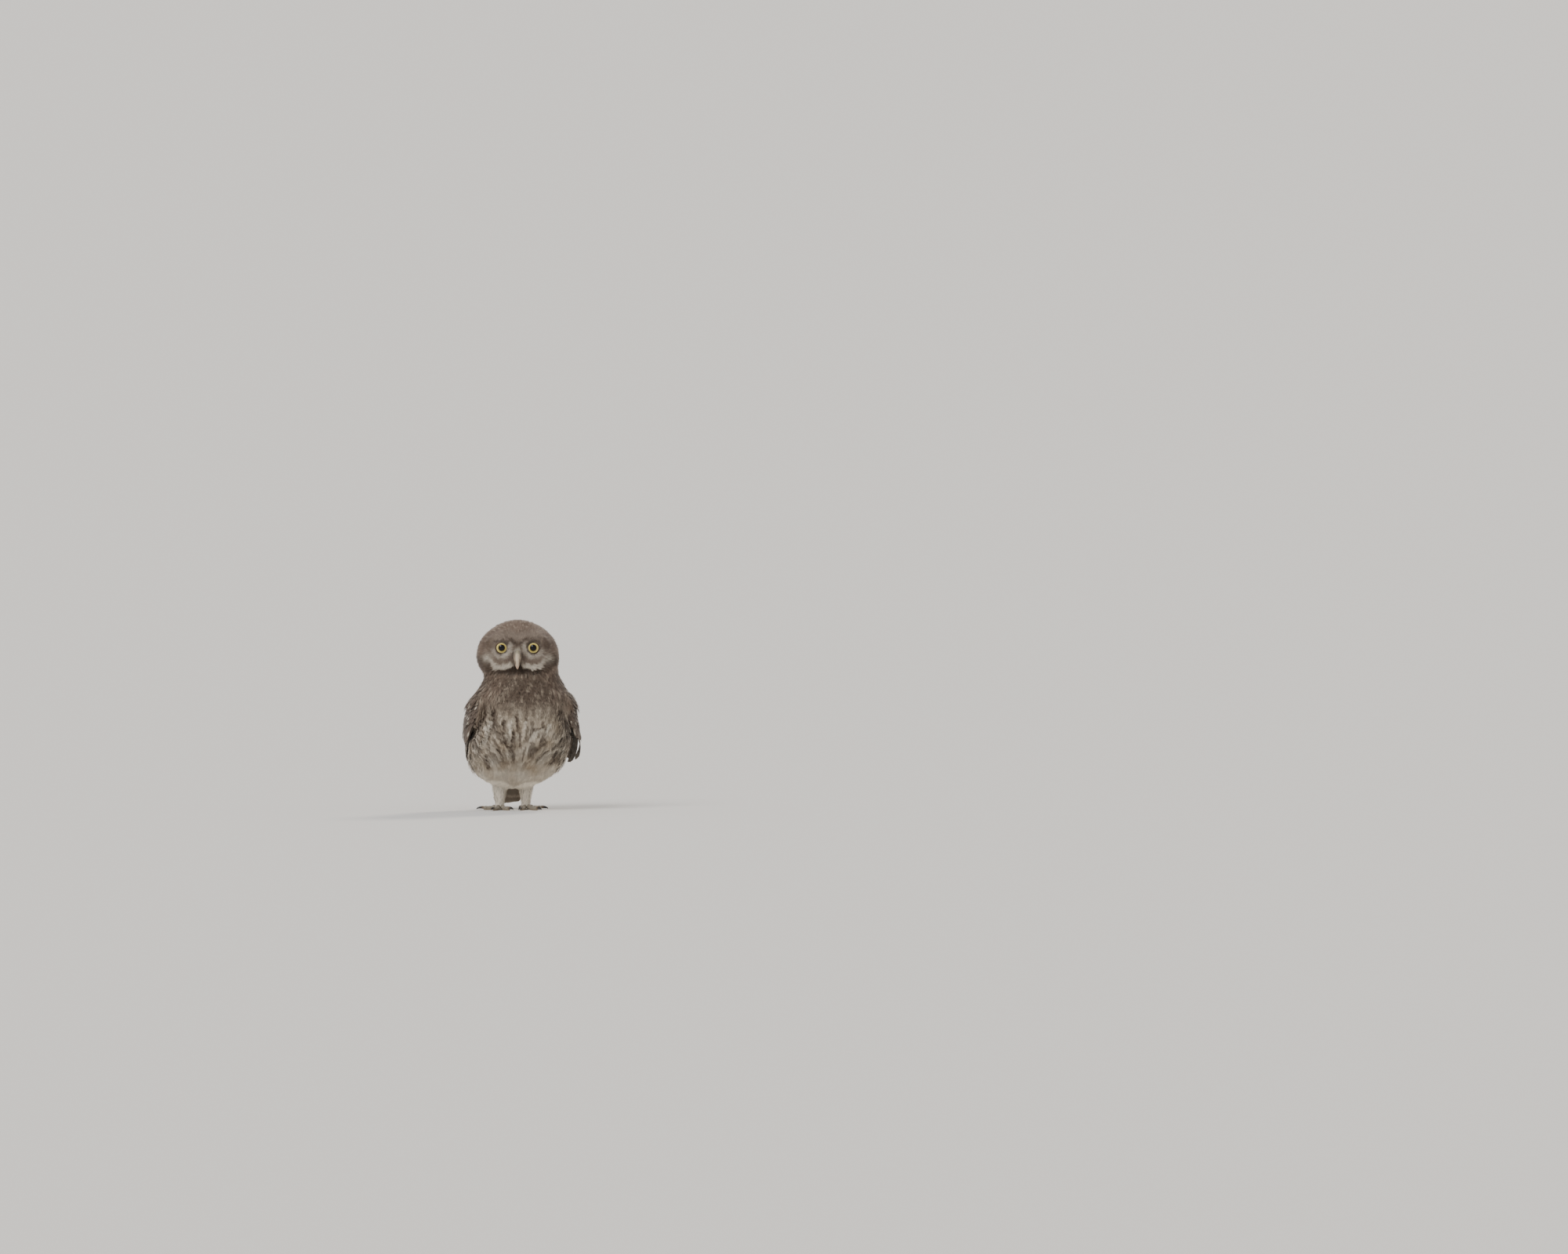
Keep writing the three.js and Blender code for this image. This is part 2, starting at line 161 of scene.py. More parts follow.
def flat_on(vectors, normals):
    """The part of each vector that lies in the surface, at length 1."""
    return unit(vectors - normals * (vectors * normals).sum(-1, keepdims=True))


MOTTLE_WAVES = 26


def mottle(points, size, seed, stretch=(1, 1, 1)):
    """Smooth random blotches about `size` across, around 0, rarely beyond 2."""
    rng = np.random.default_rng(seed)
    ways = unit(rng.normal(size=(MOTTLE_WAVES, 3)))
    waves = ways * rng.uniform(0.6, 1.5, (MOTTLE_WAVES, 1)) * 2 * math.pi / size
    phases = rng.uniform(0, 2 * math.pi, MOTTLE_WAVES)
    return np.cos((points / np.array(stretch)) @ waves.T + phases).sum(-1) / math.sqrt(MOTTLE_WAVES / 2)


# The body before it was turned and shifted into the pose

def body_turn(heights):
    return BODY_TURN * (1 - smooth(NECK_FOOT - 8, NECK_TOP + 4, heights))


def sway(heights):
    return np.interp(heights, SWAY_HEIGHTS, SWAY)


def unposed(points):
    """Points in the symmetric body's own space, where the body isn't turned or shifted."""
    turn = body_turn(points[..., 2])
    x = points[..., 0] - sway(points[..., 2])
    y = points[..., 1]
    plain = np.stack([x * np.cos(turn) + y * np.sin(turn), y * np.cos(turn) - x * np.sin(turn)], -1)
    return np.concatenate([plain, points[..., 2:]], -1)


def posed_direction(directions, heights):
    turn = body_turn(heights)
    x = directions[..., 0] * np.cos(turn) - directions[..., 1] * np.sin(turn)
    y = directions[..., 0] * np.sin(turn) + directions[..., 1] * np.cos(turn)
    return np.stack([x, y, directions[..., 2]], -1)


def posed(x, y, z):
    """A point of the symmetric body in the pose."""
    z = np.asarray(z, float)
    turned = posed_direction(np.stack(np.broadcast_arrays(x, y, z), -1), z)
    turned[..., 0] += sway(z)
    return turned


# Meshes

def mesh_points(mesh):
    points = np.empty(len(mesh.vertices) * 3)
    mesh.vertices.foreach_get("co", points)
    return to_owl(points.reshape(-1, 3))


def mesh_arrays(mesh):
    mesh.calc_loop_triangles()
    faces = np.empty(len(mesh.loop_triangles) * 3, np.int32)
    mesh.loop_triangles.foreach_get("vertices", faces)
    return mesh_points(mesh), faces.reshape(-1, 3)


def evaluated_copy(piece):
    """A piece's mesh as its modifiers leave it."""
    graph = bpy.context.evaluated_depsgraph_get()
    return bpy.data.meshes.new_from_object(piece.evaluated_get(graph))


def node_arrays(*nodes):
    """Points and triangles of CAD nodes together, with shared corners merged."""
    build = bmesh.new()
    for node in nodes:
        build.from_mesh(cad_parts[node].data)
    bmesh.ops.remove_doubles(build, verts=build.verts, dist=0.01 * MM)
    merged = bpy.data.meshes.new("merged")
    build.to_mesh(merged)
    build.free()
    arrays = mesh_arrays(merged)
    bpy.data.meshes.remove(merged)
    return arrays


def across_faces(points, faces):
    """The normal of each triangle, as long as twice its area."""
    corners = points[faces]
    return np.cross(corners[:, 1] - corners[:, 0], corners[:, 2] - corners[:, 0])


def point_normals(points, faces):
    face_normals = across_faces(points, faces)
    sums = np.zeros_like(points)
    for corner in range(3):
        for column in range(3):
            sums[:, column] += np.bincount(faces[:, corner], face_normals[:, column], len(points))
    return unit(sums)


def mesh_object(name, points, faces, materials, colours=None, finish=None):
    """A triangle mesh in the frame from points in the owl's own millimetres. Each face may have the
    number of its own finish among the materials."""
    faces = np.asarray(faces, np.int32).reshape(-1, 3)
    points = np.asarray(points, float).reshape(-1, 3)
    mesh = bpy.data.meshes.new(name)
    mesh.vertices.add(len(points))
    mesh.vertices.foreach_set("co", to_frame(points).astype(np.float32).ravel())
    mesh.loops.add(faces.size)
    mesh.loops.foreach_set("vertex_index", faces.ravel())
    mesh.polygons.add(len(faces))
    mesh.polygons.foreach_set("loop_start", np.arange(0, faces.size, 3, dtype=np.int32))
    mesh.polygons.foreach_set("use_smooth", np.ones(len(faces), bool))
    mesh.update(calc_edges=True)
    if colours is not None:
        tint = mesh.attributes.new("Tint", "FLOAT_COLOR", "POINT")
        rgba = np.ones((len(points), 4), np.float32)
        rgba[:, :3] = np.clip(colours, 0, 1).reshape(-1, 3)
        tint.data.foreach_set("color", rgba.ravel())
    for material in materials if isinstance(materials, list) else [materials]:
        mesh.materials.append(material)
    if finish is not None:
        mesh.polygons.foreach_set("material_index", np.asarray(finish, np.int32))
    piece = bpy.data.objects.new(name, mesh)
    bpy.context.scene.collection.objects.link(piece)
    return piece


def add_uv(piece, name, uv):
    """A UV map from one pair of numbers for each point of the mesh."""
    mesh = piece.data
    corners = np.empty(len(mesh.loops), np.int32)
    mesh.loops.foreach_get("vertex_index", corners)
    layer = mesh.uv_layers.new(name=name)
    layer.data.foreach_set("uv", uv.reshape(-1, 2)[corners].astype(np.float32).ravel())


def settle(piece, slot, *replaced):
    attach(piece, "root")
    if replaced:
        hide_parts(*replaced)


class Surface:
    """A triangle surface that can be asked for its nearest point or hit by a line."""

    def __init__(self, points, faces):
        self.points = points
        self.faces = faces
        self.normals = point_normals(points, faces)
        self.tree = BVHTree.FromPolygons(points.tolist(), faces.tolist())

    def closest(self, points):
        """For each point the nearest place on the surface, and the number of its triangle."""
        hits = [self.tree.find_nearest(point) for point in points.tolist()]
        return np.array([hit[0] for hit in hits]), np.array([hit[2] for hit in hits])

    def normal_at(self, places, index):
        """The normal between a triangle's corners, each counting more the nearer it is."""
        corners = self.faces[index]
        away = np.linalg.norm(self.points[corners] - places[:, None], axis=-1)
        shares = 1 / (away + 0.05)
        return unit((self.normals[corners] * shares[..., None]).sum(1))

    def distance(self, points):
        return np.array([self.tree.find_nearest(point)[3] for point in points.tolist()])


def grid_faces(rows, columns, closed=False):
    """Triangles of a grid of points, row after row, its last column joined to its first if closed."""
    row, column = np.meshgrid(np.arange(rows - 1), np.arange(columns - (not closed)), indexing="ij")
    after = (column + 1) % columns
    a = (row * columns + column).ravel()
    b = (row * columns + after).ravel()
    c = ((row + 1) * columns + after).ravel()
    d = ((row + 1) * columns + column).ravel()
    return np.concatenate([np.stack([a, b, c], 1), np.stack([a, c, d], 1)])


def closed_rings(rings):
    """Points and triangles of a closed shape through rings of points, each end shut by one point."""
    rings = np.asarray(rings)
    count, around = rings.shape[:2]
    points = np.concatenate([rings.reshape(-1, 3), rings[:1].mean(1), rings[-1:].mean(1)])
    faces = grid_faces(count, around, closed=True)
    here = np.arange(around)
    after = (here + 1) % around
    last = (count - 1) * around
    first_end = np.stack([np.full(around, count * around), after, here], 1)
    last_end = np.stack([np.full(around, count * around + 1), last + here, last + after], 1)
    faces = np.concatenate([faces, first_end, last_end])
    corners = points[faces]
    volume = (corners[:, 0] * np.cross(corners[:, 1], corners[:, 2])).sum()
    return points, faces if volume > 0 else faces[:, ::-1]


def joined(parts):
    """One list of points, triangles and colours from several."""
    points, faces, colours = [], [], []
    start = 0
    for part_points, part_faces, part_colours in parts:
        points.append(part_points)
        faces.append(part_faces + start)
        colours.append(np.broadcast_to(part_colours, part_points.shape))
        start += len(part_points)
    return np.concatenate(points), np.concatenate(faces), np.concatenate(colours)


# Shader groups and materials

def feed(tree, socket, value):
    """Gives a socket a number, a colour or another node's output."""
    if isinstance(value, bpy.types.NodeSocket):
        tree.links.new(value, socket)
    elif np.ndim(value):
        socket.default_value = (*value, 1)
    else:
        socket.default_value = value


def fill(tree, node, values):
    """Feeds a node's inputs, each by its name or number."""
    for name, value in values.items():
        feed(tree, node.inputs[name], value)
    return node


def grain_group(name, place, *measures):
    """A shader group that puts out a shade and a height for a place, by some measures: the group,
    what it is given and its results."""
    group = bpy.data.node_groups.new(name, "ShaderNodeTree")
    group.interface.new_socket(place, in_out="INPUT", socket_type="NodeSocketVector")
    for title in measures:
        group.interface.new_socket(title, in_out="INPUT", socket_type="NodeSocketFloat")
    for title in ("Shade", "Height"):
        group.interface.new_socket(title, in_out="OUTPUT", socket_type="NodeSocketFloat")
    return group, group.nodes.new("NodeGroupInput").outputs, group.nodes.new("NodeGroupOutput").inputs


def math_node(tree, operation, *values, clamp=False):
    node = tree.nodes.new("ShaderNodeMath")
    node.operation = operation
    node.use_clamp = clamp
    for socket, value in zip(node.inputs, values):
        feed(tree, socket, value)
    return node.outputs[0]


def times(tree, first, second):
    return math_node(tree, "MULTIPLY", first, second)


def scaled(tree, value, factor, offset):
    return math_node(tree, "MULTIPLY_ADD", value, factor, offset)


def noise_node(tree, vector, scale, detail=3, roughness=0.5):
    node = tree.nodes.new("ShaderNodeTexNoise")
    fill(tree, node, {"Vector": vector, "Scale": scale, "Detail": detail, "Roughness": roughness})
    return node.outputs["Fac"]


def mix_colour(tree, first, second, share, kind="MIX"):
    node = tree.nodes.new("ShaderNodeMix")
    node.data_type = "RGBA"
    node.blend_type = kind
    fill(tree, node, {6: first, 7: second, 0: share})
    return node.outputs[2]


def bare_material(name):
    """A material with its Principled shader linked to the output, and its tree."""
    material = bpy.data.materials.new(name)
    material.use_nodes = True
    tree = material.node_tree
    tree.nodes.clear()
    shader = tree.nodes.new("ShaderNodeBsdfPrincipled")
    output = tree.nodes.new("ShaderNodeOutputMaterial")
    tree.links.new(shader.outputs[0], output.inputs["Surface"])
    return material, tree, shader


def object_place(tree):
    return tree.nodes.new("ShaderNodeTexCoord").outputs["Object"]


def tint_of(tree):
    node = tree.nodes.new("ShaderNodeAttribute")
    node.attribute_name = "Tint"
    return node.outputs["Color"]


def separated(tree, vector):
    return fill(tree, tree.nodes.new("ShaderNodeSeparateXYZ"), {0: vector}).outputs


def paint_with(tree, shader, colour, shade):
    """The shader's colour, made lighter and darker by a shade."""
    feed(tree, shader.inputs["Base Color"], mix_colour(tree, colour, shade, 1.0, "MULTIPLY"))


def add_bump(tree, shader, height, strength, distance):
    bump = tree.nodes.new("ShaderNodeBump")
    fill(tree, bump, {"Strength": strength, "Distance": distance, "Height": height})
    feed(tree, shader.inputs["Normal"], bump.outputs["Normal"])


def plumage_grain():
    """Shade and height of fine fluff: soft blotches with a fine grit over them."""
    group, given, result = grain_group("Plumage grain", "Place", "Blotches", "Depth")
    broad = noise_node(group, given["Place"], given["Blotches"], 2)
    fine = noise_node(group, given["Place"], 2600, 2, 0.6)
    both = math_node(group, "ADD", times(group, broad, 0.6), times(group, fine, 0.4))
    spread = times(group, math_node(group, "SUBTRACT", both, 0.5), given["Depth"])
    feed(group, result["Shade"], scaled(group, spread, 2.0, 1.0))
    feed(group, result["Height"], fine)
    return group


def vane_grain():
    """Shade and height of a feather's vane from its own map: barbs slant from the shaft to both edges."""
    group, given, result = grain_group("Vane grain", "Vane", "Barbs", "Slant", "Shaft")
    parts = separated(group, given["Vane"])
    aside = math_node(group, "ABSOLUTE", math_node(group, "SUBTRACT", parts["X"], 0.5))
    along = math_node(group, "SUBTRACT", parts["Y"], times(group, aside, given["Slant"]))
    wave = math_node(group, "SINE", times(group, along, times(group, given["Barbs"], 6.2832)))
    uneven = noise_node(group, given["Vane"], 9, 3, 0.6)
    barbs = times(group, wave, math_node(group, "ADD", uneven, 0.2))
    shaft = math_node(group, "LESS_THAN", aside, given["Shaft"])
    shade = math_node(group, "ADD", scaled(group, barbs, 0.07, 0.94), times(group, uneven, 0.12))
    feed(group, result["Shade"], shade)
    feed(group, result["Height"], math_node(group, "ADD", barbs, times(group, shaft, 2.5)))
    return group


def grain_of(tree, group, values):
    """A grain group's results in a material, with that material's own values."""
    node = tree.nodes.new("ShaderNodeGroup")
    node.node_tree = group
    return fill(tree, node, values).outputs


GRAIN = plumage_grain()
VANES = vane_grain()


def plumage_material(name, blotches, depth, roughness, sheen):
    """Loose fluffy feathers: painted tint broken up by grain, matt with a soft sheen."""
    material, tree, shader = bare_material(name)
    grain = grain_of(tree, GRAIN, {"Blotches": blotches, "Depth": depth, "Place": object_place(tree)})
    paint_with(tree, shader, tint_of(tree), grain["Shade"])
    fill(tree, shader, {"Roughness": roughness, "Specular IOR Level": 0.2})
    fill(tree, shader, {"Sheen Weight": sheen, "Sheen Roughness": 0.45})
    add_bump(tree, shader, grain["Height"], 0.35, 0.0002)
    return material


def vane_material(name, barbs, roughness):
    """Firm feathers: painted tint with barbs slanting from the shaft."""
    material, tree, shader = bare_material(name)
    vane = tree.nodes.new("ShaderNodeUVMap")
    vane.uv_map = "Vane"
    grain = grain_of(tree, VANES, {"Barbs": barbs, "Slant": 1.2, "Shaft": 0.04, "Vane": vane.outputs["UV"]})
    paint_with(tree, shader, tint_of(tree), grain["Shade"])
    fill(tree, shader, {"Roughness": scaled(tree, grain["Shade"], -0.3, roughness + 0.3)})
    fill(tree, shader, {"Specular IOR Level": 0.3, "Sheen Weight": 0.15})
    add_bump(tree, shader, grain["Height"], 0.35, 0.00012)
    return material


def skin_material():
    """Skin under the feathers, with the same markings, a little darker."""
    material, tree, shader = bare_material("Skin under plumage")
    grain = noise_node(tree, object_place(tree), 900, 4, 0.6)
    paint_with(tree, shader, tint_of(tree), scaled(tree, grain, 0.5, 0.45))
    shader.inputs["Roughness"].default_value = 0.85
    add_bump(tree, shader, grain, 0.4, 0.0003)
    return material


def scale_material():
    """Dry toe skin: rows of small scutes with painted shade in the creases, and a dusty finish."""
    material, tree, shader = bare_material("Toe scales")
    place = object_place(tree)
    cells = tree.nodes.new("ShaderNodeTexVoronoi")
    cells.feature = "DISTANCE_TO_EDGE"
    fill(tree, cells, {"Scale": 1300, "Vector": place})
    plate = math_node(tree, "MULTIPLY", cells.outputs["Distance"], 4.0, clamp=True)
    dust = noise_node(tree, place, 420, 4, 0.6)
    # painted shade: the creases between the scutes are darkened
    shade = math_node(tree, "ADD", scaled(tree, plate, 0.35, 0.45), times(tree, dust, 0.4))
    paint_with(tree, shader, tint_of(tree), shade)
    feed(tree, shader.inputs["Roughness"], scaled(tree, dust, 0.3, 0.5))
    add_bump(tree, shader, plate, 0.5, 0.00025)
    return material


def bristle_material():
    """Stiff pale bristles, some greyer than others."""
    material, tree, shader = bare_material("Toe bristles")
    cloud = noise_node(tree, object_place(tree), 700, 3, 0.6)
    feed(tree, shader.inputs["Base Color"], mix_colour(tree, TOE_GREY, OFF_WHITE, cloud))
    feed(tree, shader.inputs["Roughness"], scaled(tree, cloud, 0.2, 0.6))
    return material


def horn_material(name, roughness):
    """Horn with faint clouds and growth lines and a dull polish."""
    material, tree, shader = bare_material(name)
    place = object_place(tree)
    cloud = noise_node(tree, place, 500, 3, 0.55)
    lines = noise_node(tree, place, 2200, 2, 0.5)
    shade = math_node(tree, "ADD", scaled(tree, lines, 0.24, 0.72), times(tree, cloud, 0.32))
    paint_with(tree, shader, tint_of(tree), shade)
    feed(tree, shader.inputs["Roughness"], scaled(tree, cloud, 0.2, roughness - 0.1))
    shader.inputs["Coat Weight"].default_value = 0.15
    add_bump(tree, shader, lines, 0.15, 0.0001)
    return material


IRIS_SPOKES = 7.0  # how closely its fibres stand
# Colours of the eye from its middle outwards, each at its distance
PUPIL_BLACK = (0.004, 0.004, 0.005)
EYE_RINGS = [
    (0.0, PUPIL_BLACK),
    (3.2, PUPIL_BLACK),
    (3.42, light_of(112, 90, 30)),
    (3.8, light_of(184, 163, 86)),
    (4.8, light_of(208, 193, 122)),
    (5.35, light_of(188, 169, 98)),
    (5.7, light_of(92, 75, 38)),
    (5.95, (0.008, 0.007, 0.006)),
]


def eye_material(name, middle):
    """A wet eye: black pupil, pale yellow iris with fine fibres, dark outer ring."""
    material, tree, shader = bare_material(name)
    centre = tree.nodes.new("ShaderNodeMapping")
    centre.vector_type = "POINT"
    centre.inputs["Location"].default_value = tuple(-to_frame(middle) / MM)
    centre.inputs["Scale"].default_value = (1 / MM, 1 / MM, 1 / MM)
    feed(tree, centre.inputs["Vector"], object_place(tree))
    parts = separated(tree, centre.outputs[0])
    across, up = parts["X"], parts["Z"]
    square = math_node(tree, "ADD", times(tree, across, across), times(tree, up, up))
    reach = math_node(tree, "SQRT", square)
    angle = math_node(tree, "ARCTAN2", up, across)
    spoke = tree.nodes.new("ShaderNodeCombineXYZ")
    feed(tree, spoke.inputs["X"], times(tree, math_node(tree, "COSINE", angle), IRIS_SPOKES))
    feed(tree, spoke.inputs["Y"], times(tree, math_node(tree, "SINE", angle), IRIS_SPOKES))
    feed(tree, spoke.inputs["Z"], times(tree, reach, 0.35))
    fibres = noise_node(tree, spoke.outputs[0], 3.2, 4, 0.65)
    wobble = scaled(tree, fibres, 0.5, -0.25)
    ring = tree.nodes.new("ShaderNodeValToRGB")
    ramp = ring.color_ramp
    while len(ramp.elements) < len(EYE_RINGS):
        ramp.elements.new(0.5)
    for element, (radius, colour) in zip(ramp.elements, EYE_RINGS):
        element.position = radius / EYE_RADIUS
        element.color = (*colour, 1)
    feed(tree, ring.inputs["Fac"], math_node(tree, "DIVIDE", scaled(tree, wobble, 0.25, reach), EYE_RADIUS))
    paint_with(tree, shader, ring.outputs["Color"], scaled(tree, fibres, 0.7, 0.62))
    fill(tree, shader, {"Roughness": 0.3, "Specular IOR Level": 0.05})
    fill(tree, shader, {"Coat Weight": 1.0, "Coat Roughness": 0.02, "Coat IOR": 1.26})
    return material


def floor_material():
    material, tree, shader = bare_material("Pale floor")
    grain = noise_node(tree, object_place(tree), 40, 2, 0.5)
    paint_with(tree, shader, FLOOR_GREY, scaled(tree, grain, 0.02, 0.99))
    shader.inputs["Roughness"].default_value = 0.85
    return material


DOWN_FINISH = plumage_material("Soft plumage", 260, 0.3, 0.9, 0.25)
LID_FINISH = plumage_material("Lid skin", 700, 0.35, 0.6, 0.0)
VANE_FINISH = vane_material("Firm vanes", 55, 0.55)
SKIN_FINISH = skin_material()
SCALE_FINISH = scale_material()
BRISTLE_FINISH = bristle_material()


# Where wings and tail lie, by the same measures as their solids

def profile(values, share):
    return np.interp(share, np.linspace(0, 1, len(values)), values)


WING_WRIST = (-27, 121)  # how far round behind straight sideways, and its height
WING_SLOPE = math.radians(61)
WING_RUN = (math.cos(WING_SLOPE), -math.sin(WING_SLOPE))  # the way from the wrist to the tip
WING_REACH = 82  # from the wrist to the tip
WING_AHEAD = [4, 12, 14.5, 15.5, 14.5, 12, 8, 1.2]  # from that line to the leading edge
WING_BEHIND = [16, 50, 62, 60, 52, 40, 24, 1.2]  # and back to the trailing edge
WING_SWELL = [0.15, 0.75, 1, 0.95, 0.7, 0.42, 0.2, 0.05]  # share of the greatest thickness
WING_SPLAY = {"left": 15, "right": 4}  # how far each wing's tip stands off the flank
WING_POWER = 2 / 2.1  # the trunk is a little squarer than an ellipse where the wings lie on it
LAYERS = 2.2  # the rows of feathers on a wing together are about this thick
TAIL_TOP = 62
TAIL_DROP = 57.5  # from there to its tip
TAIL_BACK = 45  # how far behind the body's axis its top is
TAIL_LEAN = 13.5  # how much further behind its tip is

OUTSIDE = 120  # from the axis, well clear of the body
trunk_solid = Surface(*node_arrays("trunk", "neck", "head"))


def from_outside(way, heights):
    """Where the trunk is met by a level line towards its axis, from a direction in its own space."""
    way = way / np.hypot(way[..., 0], way[..., 1])[..., None]
    starts = posed(way[..., 0] * OUTSIDE, way[..., 1] * OUTSIDE, heights)
    inward = -posed_direction(np.concatenate([way, np.zeros_like(way[..., :1])], -1), heights)
    lines = zip(starts.reshape(-1, 3).tolist(), inward.reshape(-1, 3).tolist())
    hits = [trunk_solid.tree.ray_cast(start, line)[0] for start, line in lines]
    middle = posed(0, 0, heights).reshape(-1, 3)
    found = np.array([middle[i] if hit is None else hit for i, hit in enumerate(hits)])
    return found.reshape(starts.shape)


GIRTH_HEIGHTS = np.arange(40, 136, 4.0)


def girth(way):
    """How far the trunk reaches from its axis one way, at each of the heights."""
    there = from_outside(np.tile(np.array(way, float), (len(GIRTH_HEIGHTS), 1)), GIRTH_HEIGHTS)
    return np.linalg.norm(there - posed(0, 0, GIRTH_HEIGHTS), axis=-1)


TRUNK_HALF, TRUNK_FRONT, TRUNK_BACK = girth((1, 0)), girth((0, -1)), girth((0, 1))


def trunk_reach(height, ahead):
    """How far the trunk reaches from its axis to the side, and ahead or behind."""
    half = np.interp(height, GIRTH_HEIGHTS, TRUNK_HALF)
    front = np.interp(height, GIRTH_HEIGHTS, TRUNK_FRONT)
    return half, np.where(ahead, front, np.interp(height, GIRTH_HEIGHTS, TRUNK_BACK))


def from_wrist(around, height):
    """How far a place is from a wing's wrist: down the wing, as a share of its length, and ahead."""
    back, up = around - WING_WRIST[0], height - WING_WRIST[1]
    return (back * WING_RUN[0] + up * WING_RUN[1]) / WING_REACH, back * WING_RUN[1] - up * WING_RUN[0]


def wing_place(around, height):
    """How far down a wing a place is, 0 at the wrist and 1 at the tip, and how near its middle:
    1 along the middle of the wing, 0 along its rim."""
    share = (height - WING_WRIST[1]) / (WING_RUN[1] * WING_REACH)
    behind = around - (WING_WRIST[0] + WING_RUN[0] * WING_REACH * share)
    share_ahead, ahead = from_wrist(around, height)
    share = np.where(behind > 0, share, share_ahead)
    aside_ahead = np.maximum(ahead, 0) / profile(WING_AHEAD, share)
    aside = np.where(behind > 0, behind / profile(WING_BEHIND, share), aside_ahead)
    return share, np.maximum(1 - aside**2.4, 0)


def ahead_of_wing(around, height):
    """How far ahead of a wing's leading edge a place is."""
    share, ahead = from_wrist(around, height)
    return ahead - profile(WING_AHEAD, share)


def round_wing(points):
    """How far round behind straight sideways each place of the body is."""
    body = unposed(points)
    across, back, height = body[..., 0], body[..., 1], body[..., 2]
    half, deep = trunk_reach(height, back < 0)
    rearward = np.sign(back) * np.abs(back / deep) ** (1 / WING_POWER)
    return np.arctan2(rearward, np.abs(across / half) ** (1 / WING_POWER)) * WING_WRAP


TUCKED = {"left": 0, "right": 7}  # how much of each wing's front lies under the flank's feathers


def tucked_at(points):
    return np.where(points[..., 0] > 0, TUCKED["left"], TUCKED["right"])


def covert_line(around):
    """Height of the lowest coverts' tips: below it a wing is nothing but flight feathers."""
    return 79 + 0.8 * np.maximum(around - 10, 0)


class WingPlan:
    """A wing's places: how far round behind straight sideways, at what height, how high in its
    thickness (0 inside, 1 outside) and how far over that."""

    def __init__(self, side):
        self.way = SIDES[side]
        self.splay = WING_SPLAY[side]
        self.tucked = TUCKED[side]

    def lay(self, around, height, level, over):
        share, crest = wing_place(around, height)
        over = over - 2.4 * smooth(0.4, 0.15, share) * smooth(0.4, 0, crest)  # its top dives into the coat
        off = self.splay * smooth(0.35, 1, share)
        outer = 2.5 - 1.3 * smooth(0, 0.3, share) + 6.2 * profile(WING_SWELL, share) * crest + off
        inner = -2 + 2.3 * smooth(0.4, 0.7, share) + off
        outer = np.maximum(outer - LAYERS, (outer + inner) / 2)
        half, deep = trunk_reach(height, around < 0)
        cosine, sine = np.cos(around / WING_WRAP), np.sin(around / WING_WRAP)
        across = half * cosine**WING_POWER
        back = deep * np.sign(sine) * np.abs(sine) ** WING_POWER
        flank = from_outside(np.stack([self.way * across, back], -1), height)
        outward = np.stack([self.way * cosine / half, sine / deep, 0 * sine], -1)
        outward = posed_direction(unit(outward), height)
        return flank + outward * (inner + (outer - inner) * level + over)[..., None], outward


class TailPlan:
    """The tail's places: how far to its left, at what height, and how far over its middle layer."""

    tucked = 0

    def lay(self, across, height, level, over):
        share = np.clip((TAIL_TOP - height) / TAIL_DROP, 0, 1.05)
        half = profile([10, 12, 13, 13.6, 14, 11], share)
        hollow = 2.5 * (across / half) ** 2
        thick = 0.9 + 4.6 * (1 - np.clip(share, 0, 1)) ** 1.5
        back = TAIL_BACK + TAIL_LEAN * np.clip(share, 0, 1) ** 0.8 - hollow + (level - 0.5) * thick + over
        outward = posed_direction(np.stack([0 * back, 1 + 0 * back, 0 * back], -1), height)
        return posed(across, back, height), outward


# The solids' surfaces, and the skin under the plumage

FLESH = ["head", "neck", "trunk"]
FLESH += [f"{part}_{side}" for part in ("wing", "thigh", "tarsus") for side in SIDES]
TOE_NODES = [f"toe_{toe}_{side}" for toe in TOES for side in SIDES]
SKIN_MESH = 1.1  # width of the skin's faces
SKIN_UNDER_WING = 4.5  # how deep in the trunk the skin lies there
LEG_AXES = {side: to_owl(box_middle(f"tarsus_{side}")) * [1, 1, 0] for side in SIDES}


def tail_root():
    """A plug for the slot in the rump where the tail goes in."""
    angles = angles_round(24)
    rings = []
    for height in np.linspace(70, 47, 8):
        share = np.clip((TAIL_TOP - height) / TAIL_DROP, 0, 1)
        back = TAIL_BACK + TAIL_LEAN * share**0.8 - 1.5
        rings.append(posed(12.4 * np.cos(angles), back + 3.6 * np.sin(angles), height + 0 * angles))
    return closed_rings(rings)


def wrapped(nodes, swell, mesh_size):
    """One closed and evenly meshed surface round the nodes."""
    points, faces = node_arrays(*nodes)
    points = points + point_normals(points, faces) * swell
    plug_points, plug_faces = tail_root()
    faces = np.concatenate([faces, plug_faces + len(points)])
    points = np.concatenate([points, plug_points])
    rough = mesh_object("wrap", points, faces, bpy.data.materials.new("wrap"))
    remesh = rough.modifiers.new("Wrap", "REMESH")
    remesh.mode = "VOXEL"
    remesh.voxel_size = mesh_size * MM
    mesh = evaluated_copy(rough)
    arrays = mesh_arrays(mesh)
    bpy.data.objects.remove(rough)
    bpy.data.meshes.remove(mesh)
    return arrays


